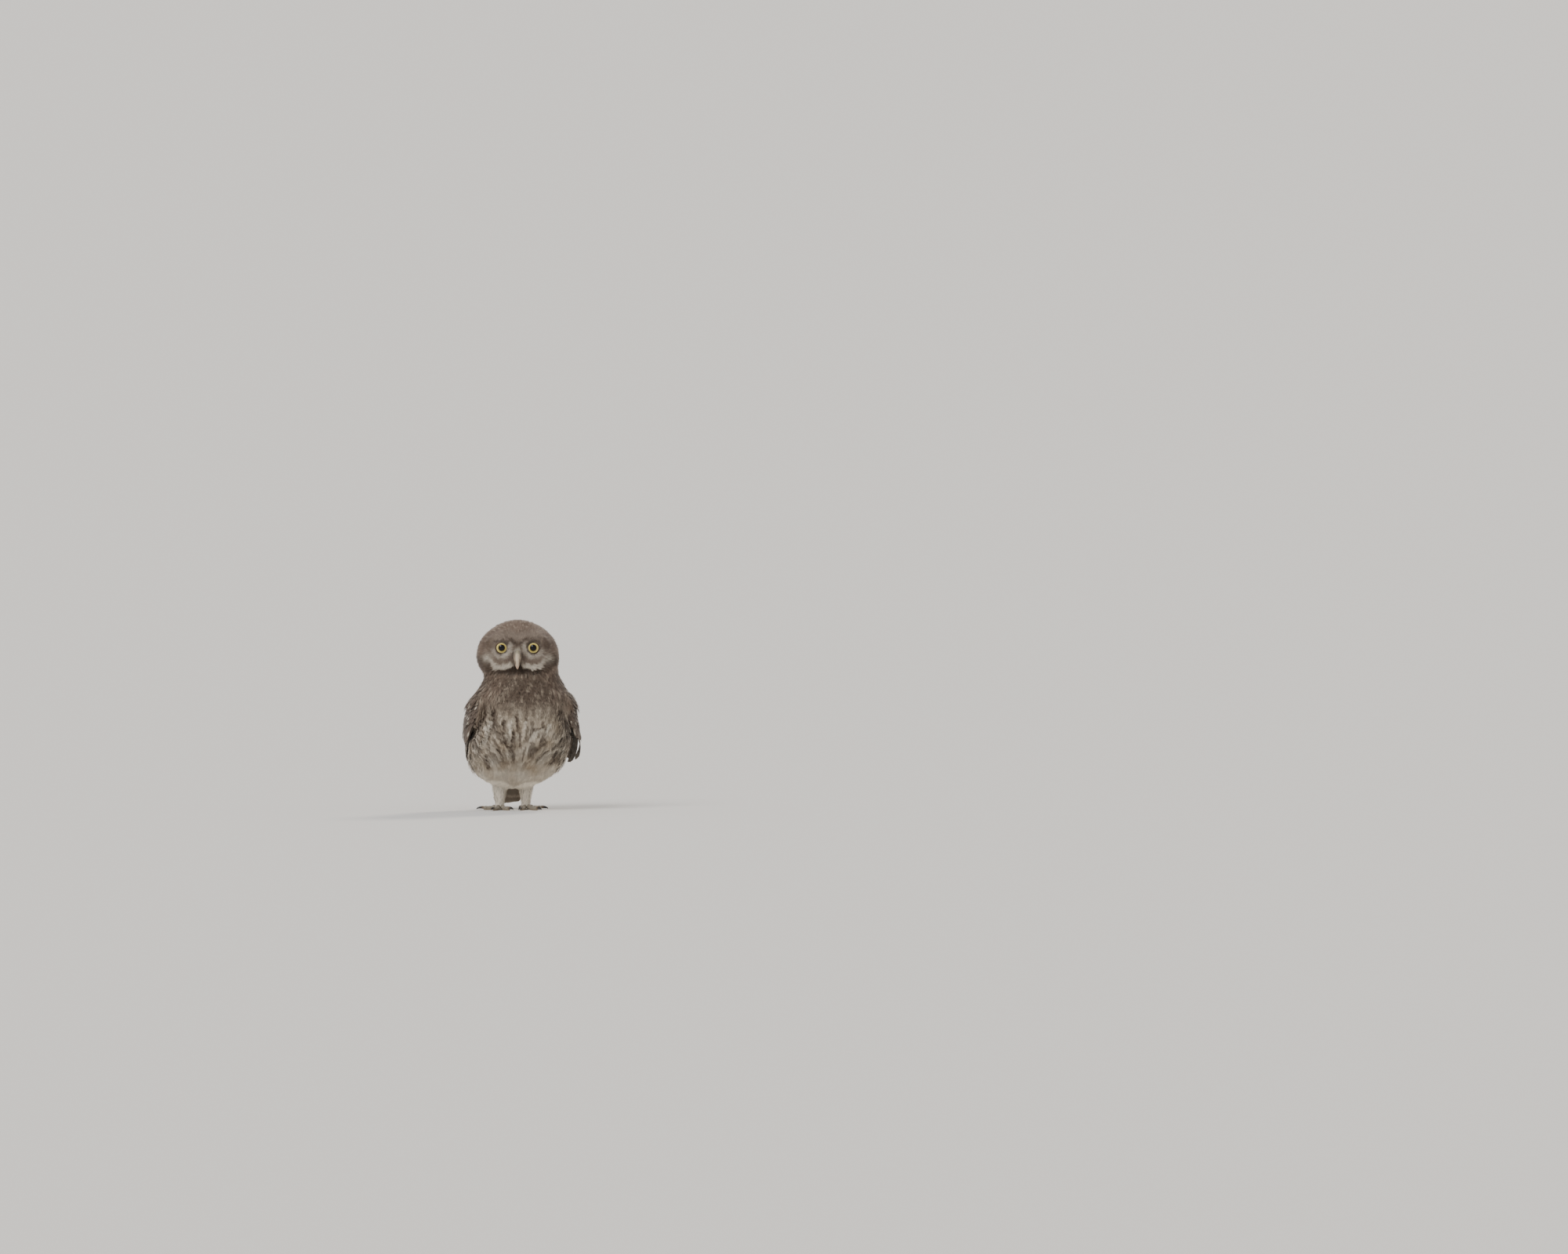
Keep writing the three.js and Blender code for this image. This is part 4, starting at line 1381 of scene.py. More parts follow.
def unwrapped(points):
    """Where roots lie on a flat map of the skin's own shape: a disc seen from above on the crown,
    elsewhere round and up the body, spread over the whole of the map."""
    body = unposed(points)
    arc = np.arctan2(body[..., 0], -body[..., 1])
    flat = np.stack([arc, body[..., 2] / 40], -1)
    if points[..., 2].min() > CROWN_FOOT - 1:
        polar = np.arccos(np.clip(unit(points - [0, 0, HEAD_MIDDLE])[..., 2], -1, 1))
        turn = np.arctan2(points[..., 1], points[..., 0])
        flat = np.stack([polar * np.cos(turn), polar * np.sin(turn)], -1)
    low, high = flat.min(0), flat.max(0)
    return 0.01 + (flat - low) / (high - low) * 0.98


def coat_piece(name, mask, kind, spacing, length, half_width, seed, slot="plumage", lift=(0.1, 1.0)):
    """One piece of the coat: every tuft whose root lies on the skin's faces that the mask picks."""
    chosen = mask(skin.points[skin.faces].mean(1), skin_wing[skin.faces].mean(1))
    chosen &= skin_depth[skin.faces].mean(1) > 0.2
    roots = roots_over(skin.faces[chosen], spacing, seed)
    reach = length if callable(length) else lambda points: np.full(len(points), float(length))
    points, faces, colours, normals, patches = tuft_arrays(roots, kind, reach, half_width, seed, lift)
    piece = mesh_object(name, points, faces, DOWN_FINISH, colours)
    add_uv(piece, "OFBake", patches)
    own = point_normals(points, faces)
    own = own * np.where((own * normals).sum(-1, keepdims=True) < 0, -1, 1)
    piece.data.normals_split_custom_set_from_vertices(unit(own * 0.35 + normals * 0.65).tolist())
    settle(piece, slot)


def front_disc(points):
    reach, _, _ = eye_reach(points)
    lores = (np.abs(points[:, 0]) < 22) & (points[:, 2] > 146) & (points[:, 2] < 182)
    return (on_face(points) > 0.5) & ((reach < 20) | lores)


def is_leg(points):
    return (points[:, 2] < 40) & (leg_reach(points) < 12.5)


def is_back(points):
    return unposed(points)[:, 1] > 4


def on_crown(points, wing):
    return (points[:, 2] > CROWN_FOOT) & ~front_disc(points)


def on_head_side(points, wing):
    return (points[:, 2] > 150) & (points[:, 2] <= CROWN_FOOT) & ~front_disc(points)


def on_disc(points, wing):
    reach, _, _ = eye_reach(points)
    on_bill = (np.abs(points[:, 0]) < 4.2) & (points[:, 1] < -31.8) & (points[:, 2] < 168)
    return front_disc(points) & (reach > LID_REACH) & ~on_bill


def face_length(points):
    reach, _, _ = eye_reach(points)
    return 1.5 + 3.0 * smooth(7, 15, reach)


def on_neck(points, wing):
    return (points[:, 2] > 124) & (points[:, 2] <= 150) & ~front_disc(points)


def on_trunk(front, low, high):
    def mask(points, wing):
        height = points[:, 2]
        side = ~is_back(points) if front else is_back(points)
        return side & (height > low) & (height <= high) & ~is_leg(points) & (wing < 0.5)

    return mask


def on_flanks(points, wing):
    """A strip of the flank whose long feathers lap over the wing's leading edge."""
    before = ahead_of_wing(round_wing(points), points[:, 2]) + tucked_at(points)
    height = points[:, 2]
    where = (before > -1.5) & (before < 9) & (height > 51) & (height < 108)
    return where & ~is_back(points) & (wing < 0.2)


def on_fluff(points, wing):
    """Wherever long loose down sticks out of the coat."""
    return ~front_disc(points) & ~is_leg(points) & (wing < 0.1) & (points[:, 2] > 30)


def on_shoulders(points, wing):
    """Above the wings, where long loose feathers run down over their roots."""
    return (np.abs(round_wing(points)) < 48) & (points[:, 2] > 114) & (points[:, 2] < 131)


def on_lores(points, wing):
    """The bristly sides of the bill's root."""
    across, height = np.abs(points[:, 0]), points[:, 2]
    return (on_face(points) > 0.5) & (across > 2.2) & (across < 8.4) & (height > 153) & (height < 172)


def on_legs(points, wing):
    return is_leg(points)


def make_coat():
    coat_piece("coat_face", on_disc, "strands", 0.66, face_length, 0.7, 101, lift=(0.1, 0.9))
    coat_piece("coat_lores", on_lores, "strands", 0.8, 5.2, 0.5, 112, lift=(0.3, 1.7))
    coat_piece("coat_crown", on_crown, "small", 1.15, 6.0, 1.1, 102)
    coat_piece("coat_head_sides", on_head_side, "small", 1.15, 6.5, 1.15, 103)
    coat_piece("coat_neck", on_neck, "contour", 1.4, 8.5, 1.55, 104)
    coat_piece("coat_breast", on_trunk(True, 84, 124), "contour", 1.4, 9.5, 1.55, 105)
    coat_piece("coat_belly", on_trunk(True, 50, 84), "down", 1.4, 10.0, 1.5, 106)
    coat_piece("coat_vent", on_trunk(True, 0, 50), "down", 1.4, 9.0, 1.5, 107)
    coat_piece("coat_back", on_trunk(False, 70, 124), "contour", 1.45, 9.5, 1.8, 108)
    coat_piece("coat_rump", on_trunk(False, 0, 70), "down", 1.5, 9.5, 1.6, 109)
    coat_piece("coat_shoulders", on_shoulders, "contour", 1.7, 13.0, 1.9, 113, lift=(0.5, 1.45))
    coat_piece("coat_flanks", on_flanks, "down", 1.8, 12.0, 1.7, 114, lift=(0.4, 1.5))
    coat_piece("coat_fluff", on_fluff, "wisps", 2.6, 7.5, 0.9, 115, lift=(0.5, 1.35))
    coat_piece("coat_legs", on_legs, "strands", 0.85, 5.0, 0.9, 111, slot="pale_plumage", lift=(0.2, 1.4))


# Eyes, lids, bill, toes and claws

LID_MARGIN = 5.68  # from the eye's line of sight
# The lids' cross-section: how far beyond the margin, and behind the eye's surface
LID_ROWS = [(-0.35, 0.55), (0.0, -0.12), (0.15, -0.4), (0.35, -0.5), (0.6, -0.36), (0.8, -0.44), (1.0, -0.25)]


def turned_rings(radii, depths, count):
    """Rings round the eye's line of sight: each with its radius and its depth behind the eye's middle."""
    angles = angles_round(count)
    radii = np.asarray(radii)[:, None] * np.ones(count)
    depths = np.asarray(depths)[:, None] + 0 * radii
    return np.stack([radii * np.cos(angles), depths, radii * np.sin(angles)], -1)


def cornea(reach):
    """How far in front of the eye's middle its surface stands at a distance from the line of sight."""
    ball = np.sqrt(np.maximum(EYE_RADIUS**2 - reach**2, 0))
    return ball + CORNEA_RISE * bell(reach, 4.6)


def make_eye(side):
    tilts = np.linspace(0.02, math.pi - 0.05, 44)
    reaches = EYE_RADIUS * np.sin(tilts)
    depths = np.where(tilts < math.pi / 2, -cornea(reaches), -EYE_RADIUS * np.cos(tilts))
    points, faces = closed_rings(turned_rings(reaches, depths, 48) + EYES[side])
    eye = mesh_object(f"eyeball_{side}", points, faces, eye_material(f"Wet eye {side}", EYES[side]))
    settle(eye, "eye", f"eye_{side}")


def skin_front(across, height):
    """Where the skin of the face stands, seen from ahead."""
    starts = zip(across.tolist(), height.tolist())
    hits = [skin.tree.ray_cast((x, -90.0, z), (0, 1, 0))[0] for x, z in starts]
    return np.array([-24.0 if hit is None else hit[1] for hit in hits])


def lids(side):
    """Upper and lower lid as one fold round the eye, dark along its margin and sunk into the face."""
    around = 96
    angles = angles_round(around)
    aside, up = SIDES[side] * np.cos(angles), np.sin(angles)
    margin = LID_MARGIN - 0.55 * np.maximum(up, 0) ** 1.5 - 0.1 * bell(angles - 1.5 * math.pi, 0.6)
    creases = 0.06 * np.sin(angles * 23) + 0.05 * np.sin(angles * 41 + 1)
    rings = []
    tones = []
    for number, (beyond, behind) in enumerate(LID_ROWS):
        reach = margin + beyond
        depth = -cornea(np.minimum(reach, margin + 0.3)) + behind + (creases if number > 3 else 0)
        rings.append(np.stack([reach * aside, depth, reach * up], -1) + EYES[side])
        tones.append(blend(LID_DARK, DUSKY_BROWN, 0.8 * smooth(0.4, 1.0, beyond)))
    for reach, sunk in ((7.4, 0.35), (8.6, 1.2)):
        across, height = reach * aside + EYES[side][0], reach * up + EYES[side][2]
        rings.append(np.stack([across, skin_front(across, height) + sunk, height], -1))
        tones.append(DUSKY_BROWN)
    points = np.concatenate(rings)
    faces = grid_faces(len(rings), around, closed=True)
    if across_faces(points, faces)[:, 1].sum() > 0:
        faces = faces[:, ::-1]  # they look ahead
    return points, faces, np.repeat(np.array(tones), around, 0)


BILL_ROOT = 165.5
BILL_START = 25  # how far ahead of the neck's axis its root is
BILL_TIP = to_owl(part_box("bill_upper")[0])[2]
BILL_REACH = -to_owl(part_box("bill_upper")[0])[1]
BILL_STATIONS = [0, 0.2, 0.4, 0.6, 0.8, 0.93, 1]  # from the root to the tip


def toned_rings(rings, tones):
    """Points, triangles and colours of a closed shape through rings of coloured points."""
    points, faces = closed_rings(rings)
    return points, faces, np.concatenate([*tones, tones[0][:1], tones[-1][:1]])


def bill_upper():
    """From its root between the eyes it bends forward, down and into a hook, with a swollen soft
    cere at its base, a nostril in each side of it and a keel along the top."""
    rings, tones = [], []
    angles = angles_round(36)
    up, aside = np.sin(angles), np.cos(angles)
    drop = BILL_ROOT - BILL_TIP
    for s in np.linspace(0, 1, 46):
        bend = s * 1.45
        reach = BILL_START + (BILL_REACH - (BILL_START + 1.2)) * math.sin(bend) ** 0.9
        reach -= 0.9 * smooth(0.82, 1, s)
        height = BILL_ROOT - (drop - 0.4) * s**1.25
        slope = math.atan2(drop * 1.25 * s**0.25, (BILL_REACH - BILL_START) * 1.3 * math.cos(bend) + 0.2)
        half_wide = np.interp(s, BILL_STATIONS, [4.6, 4.6, 4.1, 3.3, 2.2, 1.2, 0.25])
        half_tall = np.interp(s, BILL_STATIONS, [4.2, 4.2, 3.8, 3.1, 2.2, 1.3, 0.3])
        cere = smooth(0.34, 0.27, s)
        swell = 1 + 0.06 * cere
        keel = 1 - 0.3 * np.maximum(up, 0) ** 2 * (1 - 0.4 * cere)
        wide = half_wide * swell * aside * keel
        tall = half_tall * swell * up * np.where(up > 0, 1 + 0.06 * bell(aside, 0.2), 1.05)
        nostril = bell(s - 0.2, 0.045) * bell(np.abs(aside) - 0.72, 0.14) * smooth(0, 0.4, up)
        wide = wide * (1 - 0.34 * nostril)
        tall = tall * (1 - 0.3 * nostril)
        rings.append(np.stack([wide, -reach - tall * math.sin(slope), height + tall * math.cos(slope)], -1))
        horn = blend(BILL_PALE, BILL_SIDE, smooth(0.35, 0.95, np.abs(aside)))
        horn = blend(horn, BILL_HOOK, smooth(0.7, 0.95, s) * 0.7)
        soft = blend(CERE_FOOT, CERE_TOP, 0.5 - 0.5 * up)
        tone = blend(horn, soft, cere * 0.85)
        # painted shade: each nostril's dent is darkened as if it were a deep opening
        tones.append(blend(tone, LID_DARK, 0.9 * nostril))
    return toned_rings(rings, tones)


def bill_lower():
    rings, tones = [], []
    angles = angles_round(24)
    for s in np.linspace(0, 1, 16):
        reach = 24 + 8.6 * s
        height = 155.2 - 2.4 * s**1.3
        wide = np.interp(s, [0, 0.33, 0.66, 0.9, 1], [3.4, 3.2, 2.5, 1.4, 0.5]) * np.cos(angles)
        tall = (1.9 - 1.1 * s) * np.sin(angles)
        rings.append(np.stack([wide, -reach + 0 * wide, height + tall], -1))
        tones.append(np.tile(blend(BILL_UNDER_ROOT, BILL_UNDER_TIP, s), (len(angles), 1)))
    return toned_rings(rings, tones)


def make_bill():
    horn = horn_material("Bill horn", 0.36)
    halves = {"bill_upper": ("bill_top", bill_upper()), "bill_lower": ("bill_under", bill_lower())}
    for node, (name, (points, faces, tones)) in halves.items():
        settle(mesh_object(name, points, faces, horn, tones), "bill_horn", node)


def reach_of(node, side):
    """A toe or claw's direction from the leg's axis, and how near and far it reaches from it."""
    points, _ = node_arrays(node)
    flat = points[:, :2] - LEG_AXES[side][:2]
    away = np.hypot(*flat.T)
    way = flat[away > away.max() - 1.5].mean(0)
    return way / np.linalg.norm(way), away.min(), away.max()


def rod_rings(side, way, distances, heights, radii, around, shape):
    """Rings of a toe or claw that leaves the leg's axis in one direction over the floor."""
    angles = angles_round(around)
    aside = np.array([-way[1], way[0]])
    rings = []
    rises = np.gradient(heights, distances)
    for distance, height, radius, rise in zip(distances, heights, radii, rises):
        lean = math.atan(rise)
        wide, tall = shape(distance, angles, radius)
        along = distance - tall * math.sin(lean)
        flat = LEG_AXES[side][:2] + along[:, None] * way + wide[:, None] * aside
        rings.append(np.concatenate([flat, np.maximum(height + tall * math.cos(lean), 0.02)[:, None]], -1))
    return rings


TOE_JOINTS = {"inner": 2, "middle": 3, "outer": 3, "hind": 1}
SCUTE = 1.25  # length of a scute
TOE_ROOT = 1.5  # from the leg's axis
TOE_BEND = 3.6  # where a toe comes out from under the leg
TOE_STEP = 0.34  # between its rings


def toe_shape(distance, angles, radius):
    """A toe's outline: scutes that overlap along the top, grained pads beneath."""
    up = np.sin(angles)
    step = (distance / SCUTE) % 1
    scale = 0.2 * (step - 0.4) * smooth(0.1, 0.6, up)
    grain = 0.07 * np.sin(angles * 9 + distance * 5) * smooth(0.2, -0.2, up)
    reach = radius + scale + grain
    return reach * np.cos(angles) * 0.94, reach * up


def toe_parts(toe, side):
    """A toe with its joints, a row of scutes along the top and soft pads beneath."""
    way, _, length = reach_of(f"toe_{toe}_{side}", side)
    distances = np.linspace(TOE_ROOT, length, int(length / TOE_STEP))
    share = (distances - TOE_BEND) / (length - TOE_BEND)
    heights = 1.9 + 1.5 * (1 - smooth(0, 0.45, share))
    bumps = 0.5 - 0.5 * np.cos(np.clip(share, 0, 1) * 2 * math.pi * TOE_JOINTS[toe])
    radii = 2.1 - 0.12 * share + 0.34 * bumps
    radii[-4:] *= [0.97, 0.9, 0.72, 0.4]
    points, faces = closed_rings(rod_rings(side, way, distances, heights, radii, 22, toe_shape))
    # painted shade: a dark band where each scute dips under the one before
    scute_shade = ((np.hypot(*(points[:, :2] - LEG_AXES[side][:2]).T) / SCUTE) % 1) < 0.3
    tone = np.where(scute_shade[:, None], TOE_GREY * 0.72, TOE_GREY)
    pad = smooth(1.4, 0.4, points[:, 2])
    return points, faces, blend(tone, PAD_BUFF, 0.7 * pad)


BRISTLE_SEED = 120


def bristle_tree():
    """Geometry nodes that set small spikes over a surface, leaning along its outward way."""
    floats = dict.fromkeys(("Spacing", "Density", "Length", "Thickness"), "Float")
    inputs = {"Surface": "Geometry", **floats, "Finish": "Material"}
    tree, given, result = geometry_tree("Toe bristles", inputs, "Bristles")
    node = tree.nodes.new
    spike = node("GeometryNodeMeshCone")
    spike.fill_type = "TRIANGLE_FAN"
    fill(tree, spike, {"Vertices": 4, "Side Segments": 2, "Radius Top": 0})
    fill(tree, spike, {"Depth": given["Length"], "Radius Bottom": given["Thickness"]})
    turn = node("FunctionNodeRandomValue")
    turn.data_type = "FLOAT_VECTOR"
    turn.inputs["Min"].default_value = (0.3, -0.5, -1.5)
    turn.inputs["Max"].default_value = (1.0, 0.5, 1.5)
    turn.inputs["Seed"].default_value = BRISTLE_SEED + 1
    size = node("FunctionNodeRandomValue")
    size.inputs["Min"].default_value = 0.6
    size.inputs["Max"].default_value = 1.2
    size.inputs["Seed"].default_value = BRISTLE_SEED + 2
    roots = scattered(tree, given, BRISTLE_SEED)
    lean = node("FunctionNodeRotateRotation")
    lean.rotation_space = "LOCAL"
    fill(tree, lean, {"Rotation": roots["Rotation"], "Rotate By": turn.outputs[0]})
    place = node("GeometryNodeInstanceOnPoints")
    fill(tree, place, {"Points": roots["Points"], "Instance": spike.outputs["Mesh"]})
    fill(tree, place, {"Rotation": lean.outputs[0], "Scale": size.outputs[1]})
    real = fill(tree, node("GeometryNodeRealizeInstances"), {0: place.outputs[0]})
    finish = node("GeometryNodeSetMaterial")
    fill(tree, finish, {"Geometry": real.outputs[0], "Material": given["Finish"]})
    feed(tree, result["Bristles"], finish.outputs[0])
    return tree


def make_bristles(toes):
    """Sparse pale bristles on the upper side of the toes."""
    points, faces, _ = joined(toes)
    middles = points[faces].mean(1)
    upward = unit(across_faces(points, faces))[:, 2] > 0.1
    upper = faces[upward & (leg_reach(middles) > 2) & (middles[:, 2] > 1.5)]
    bed = mesh_object("toe_bed", points, upper, BRISTLE_FINISH)
    sizes = {"Spacing": 1.1 * MM, "Density": 1.2e6, "Length": 2.4 * MM, "Thickness": 0.11 * MM}
    with_nodes(bed, bristle_tree(), {**sizes, "Finish": BRISTLE_FINISH})
    mesh = evaluated_copy(bed)
    bpy.data.objects.remove(bed)
    piece = bpy.data.objects.new("toe_bristles", mesh)
    bpy.context.scene.collection.objects.link(piece)
    settle(piece, "toe_skin")


def claw_shape(distance, angles, radius):
    """A claw's outline, narrower towards the top and flatter beneath."""
    up = np.sin(angles)
    wide = radius * 0.84 * np.cos(angles) * (1 - 0.18 * np.maximum(up, 0) ** 2)
    return wide, radius * up * np.where(up > 0, 1.05, 0.8)


def make_claw(toe, side, horn):
    node = f"claw_{toe}_{side}"
    way, near, far = reach_of(node, side)
    shares = np.linspace(0, 1, 22)
    distances = near - 0.5 + (far - near + 0.4) * np.sin(shares * 1.5) / math.sin(1.5)
    heights = 2.4 + 1.3 * shares - 3.1 * shares**2
    radii = np.interp(shares, [0, 0.2, 0.4, 0.6, 0.8, 0.94, 1], [1.62, 1.55, 1.32, 1.0, 0.6, 0.26, 0.08])
    points, faces = closed_rings(rod_rings(side, way, distances, heights, radii, 16, claw_shape))
    along = np.hypot(*(points[:, :2] - LEG_AXES[side][:2]).T)
    tone = blend(CLAW_ROOT, CLAW_TIP, smooth(near, near + 0.45 * (far - near), along))
    settle(mesh_object(f"talon_{toe}_{side}", points, faces, horn, tone), "claw_horn", node)


def make_claws():
    horn = horn_material("Claw horn", 0.28)
    for side in SIDES:
        for toe in TOES:
            make_claw(toe, side, horn)


def make_skin():
    """One skin for head, body, wings and legs, with the lids and the toes' bare skin."""
    body = (skin.points, skin.faces, blend(markings(skin.points, skin_wing), DOWN_GREY, 0.25))
    eyelids = [lids(side) for side in SIDES]
    toes = [toe_parts(toe, side) for side in SIDES for toe in TOES]
    points, faces, colours = joined([body, *eyelids, *toes])
    finish = np.zeros(len(faces), int)
    finish[len(body[1]):] = 1
    finish[len(body[1]) + sum(len(part[1]) for part in eyelids):] = 2
    materials = [SKIN_FINISH, LID_FINISH, SCALE_FINISH]
    piece = mesh_object("skin", points, faces, materials, colours, finish)
    settle(piece, "plumage", *FLESH, *TOE_NODES)
    make_bristles(toes)


# Firm feathers of wings and tail

VANE_THICK = 0.22
VANE_MAP = 40  # millimetres of a feather from the bottom to the top of the vanes' map
TIP_BLUNTNESS = 1.3  # a feather's tip is rounded over this many half widths
OUTER_SIDE = -1  # the side of a feather that lies outermost
QUILL_SPOTS = 6.5  # pale spots down a flight feather
FEATHER_COLUMNS = np.array([-1, -0.82, -0.55, -0.28, -0.07, 0, 0.07, 0.28, 0.55, 0.82, 1.0])


def firm_feather(plan, root, tip, half, level, over, paint, rng, rows=18, bow=0.0, tile=0.36):
    """One closed feather laid in a plan: a shaft with a vane on each side, split here and there. Its
    outer edge lies over the next feather and its inner edge under the one before, as tiles do."""
    root, tip = np.array(root, float), np.array(tip, float)
    way = tip - root
    length = np.linalg.norm(way)
    way /= length
    aside = np.array([-way[1], way[0]])
    along = 1 - (1 - np.linspace(0, 1, rows)) ** 1.5
    rounding = min(half * TIP_BLUNTNESS / length, 0.4)
    width = half * (0.3 + 0.7 * smooth(0, 0.4, along))
    width = width * np.sqrt(np.clip(1 - (np.maximum(along - 1 + rounding, 0) / rounding) ** 2, 0.002, 1))
    width = width[:, None]
    along, across = np.broadcast_arrays(along[:, None], FEATHER_COLUMNS)
    edge = np.ones(across.shape)
    for outermost, beside in ((0, 1), (-1, -2)):
        for row in rng.integers(int(rows * 0.35), rows - 2, 2):
            depth = rng.uniform(0.08, 0.24)
            edge[row, outermost] -= depth
            edge[row, beside] -= depth * 0.4
    wobble = 1 + 0.03 * rng.normal(size=(rows, 1))
    wide = across * edge * width * wobble
    forward = along * length - 0.18 * np.abs(wide)
    bend = bow * np.sin(math.pi * along)
    flat = root + way * forward[..., None] + aside * (wide + bend)[..., None]
    rise = over[0] + (over[1] - over[0]) * along
    rise = rise - 0.05 * half * across**2 - tile * across * (width / half)
    rise = rise + 0.16 * bell(across, 0.05) * (1.2 - along)
    top, outward = plan.lay(flat[..., 0], flat[..., 1], level, rise)
    bottom = top - outward * VANE_THICK * (1 - 0.5 * along[..., None])
    points = np.concatenate([top.reshape(-1, 3), bottom.reshape(-1, 3)])
    tone = paint(along, across, length, rng).reshape(-1, 3)
    colours = np.concatenate([tone, blend(tone, PALE_BUFF * 0.7, 0.35)])
    vane = np.stack([0.5 + 0.5 * across, along * length / VANE_MAP], -1).reshape(-1, 2)
    return points, sheet_faces(*across.shape), colours, np.concatenate([vane, vane])


def sheet_faces(rows, columns):
    """Triangles of a closed sheet: its top, its underside and the narrow edge between them."""
    down = rows * columns
    top = grid_faces(rows, columns)
    rim = np.concatenate([
        np.arange(columns),
        np.arange(1, rows) * columns + columns - 1,
        (rows - 1) * columns + np.arange(columns - 2, -1, -1),
        np.arange(rows - 2, 0, -1) * columns,
    ])
    after = np.roll(rim, -1)
    near, far = np.stack([rim, rim + down, after], 1), np.stack([after, rim + down, after + down], 1)
    return np.concatenate([top, top[:, ::-1] + down, near, far])


def feather_piece(name, feathers, slot, *replaced):
    points, faces, colours = joined([feather[:3] for feather in feathers])
    if (points[faces[:, 0]] * across_faces(points, faces)).sum() < 0:
        faces = faces[:, ::-1]
    piece = mesh_object(name, points, faces, VANE_FINISH, colours)
    add_uv(piece, "Vane", np.concatenate([feather[3] for feather in feathers]))
    settle(piece, slot, *replaced)


def vane_tone(base, along, across, rng):
    """A vane's own shading: darker along the shaft, lighter at its edges, with a random cast."""
    cast = 0.62 * (1 + rng.normal(0, 0.1))
    shade = 1 + 0.1 * np.abs(across) - 0.2 * (1 - along) + 0.1 * rng.normal(size=across.shape)
    return blend(base * cast * shade[..., None], DARK_BROWN * 0.6, 0.6 * bell(across, 0.06))


def quill_paint(along, across, length, rng):
    """Flight feathers: brown with a row of pale spots on the outer vane, fainter on the inner."""
    tone = vane_tone(blend(WING_BROWN, DARK_BROWN, 0.35 + 0.2 * along), along, across, rng)
    place = along * QUILL_SPOTS + 0.2
    row = bell((place % 1) - 0.5 + 0.05 * rng.normal(), 0.13) * rng.uniform(0.6, 1)
    outward = across * OUTER_SIDE
    out = smooth(0.18, 0.5, outward) * smooth(1.25, 0.85, outward)
    spots = np.clip(row * (0.75 * out + 0.4 * smooth(0.3, 0.8, -outward)), 0, 1)
    tone = blend(tone, SPOT_WHITE, spots * smooth(0.05, 0.2, along))
    return blend(tone, PALE_BUFF, 0.55 * smooth(0.93, 1.0, along))


def covert_paint(chance, size, browner=0.3):
    """Coverts: brown, by chance with a pale spot near the tip of the outer vane."""

    def paint(along, across, length, rng):
        base = blend(WING_BROWN, CROWN_BROWN, browner + 0.25 * rng.random())
        tone = vane_tone(base, along, across, rng)
        spot = bell(along - rng.uniform(0.7, 0.82), 0.75 * size / length)
        spot = spot * bell(across - OUTER_SIDE * 0.42, 0.34)
        shown = spot * (rng.random() < chance) * rng.uniform(0.6, 1.1)
        tone = blend(tone, SPOT_WHITE, np.clip(1.1 * shown, 0, 0.85))
        return blend(tone, PALE_BUFF, 0.2 * smooth(0.92, 1.0, along))

    return paint


def tail_paint(along, across, length, rng):
    """Tail feathers: brown with pale bars, a little out of line, and a pale tip."""
    tone = vane_tone(WING_BROWN * 0.92, along, across, rng)
    start = 3.2 + rng.normal(0, 0.45)
    wave = 0.05 * np.sin(3 * across + rng.uniform(0, 6))
    bars = bell(((along * length + start) / 11.5 + wave) % 1 - 0.5, 0.1) * smooth(0, 0.25, np.abs(across))
    tone = blend(tone, PALE_BUFF * 0.9, 0.66 * bars * smooth(0.1, 0.2, along))
    return blend(tone, PALE_BUFF, 0.5 * smooth(0.95, 1.0, along))


def rump_paint(along, across, length, rng):
    """The feathers over the tail's root: soft brown with a broad pale tip."""
    base = blend(CROWN_BROWN, PALE_BUFF, rng.uniform(0.0, 0.3))
    tone = vane_tone(base, along, across, rng)
    return blend(tone, PALE_BUFF, 0.36 * smooth(0.7, 1.0, along))


def vent_paint(along, across, length, rng):
    """The feathers under the tail's root: whitish, a little darker inside."""
    return vane_tone(OFF_WHITE * 1.3, along, across, rng)


def steps_between(count, *places):
    """Places spread evenly from the first to the last, by way of the others."""
    places = np.array(places, float)
    shares = np.linspace(0, len(places) - 1, count)
    return np.stack([np.interp(shares, np.arange(len(places)), column) for column in places.T], 1)


def wing_row(plan, rng, count, roots, tips, half, level, over, paint, rows, bow=0.0):
    """A row of feathers that overlap in order, from the front of the wing to its back."""
    feathers = []
    for number, (root, tip) in enumerate(zip(steps_between(count, *roots), steps_between(count, *tips))):
        back = number / max(count - 1, 1)
        height = level[0] + (level[1] - level[0]) * back
        root = root + rng.normal(0, 0.25, 2)
        tip = tip + rng.normal(0, 0.6, 2)
        if plan.tucked and ahead_of_wing(*root) > 1 - plan.tucked:
            continue  # it would lie under the flank's feathers
        wide = (half[0] + (half[1] - half[0]) * back) * rng.uniform(0.9, 1.12)
        lift = (over[0], over[1] + 0.12 * (number % 2))
        feathers.append(firm_feather(plan, root, tip, wide, height, lift, paint, rng, rows, bow))
    return feathers


LESSER_ROWS = 6
# The lowest row's tips, the step from row to row, and the way from a tip back to its root
LESSER_TIPS = [
    ((-26, 94), (-0.6, 4.4), (-1.5, 8)),
    ((-10, 90), (-1.6, 4.6), (-3.6, 7.4)),
    ((10, 95.5), (-2.4, 4.6), (-4.6, 6.8)),
    ((26, 109), (-3.2, 3.2), (-5.6, 5.4)),
]

# The same for the shoulder's
SCAPULAR_TIPS = [
    ((8, 106), (-1, 5), (-5, 12)),
    ((32, 99), (-2, 5.5), (-4, 13)),
    ((52, 94), (-1, 6), (-2, 13)),
]

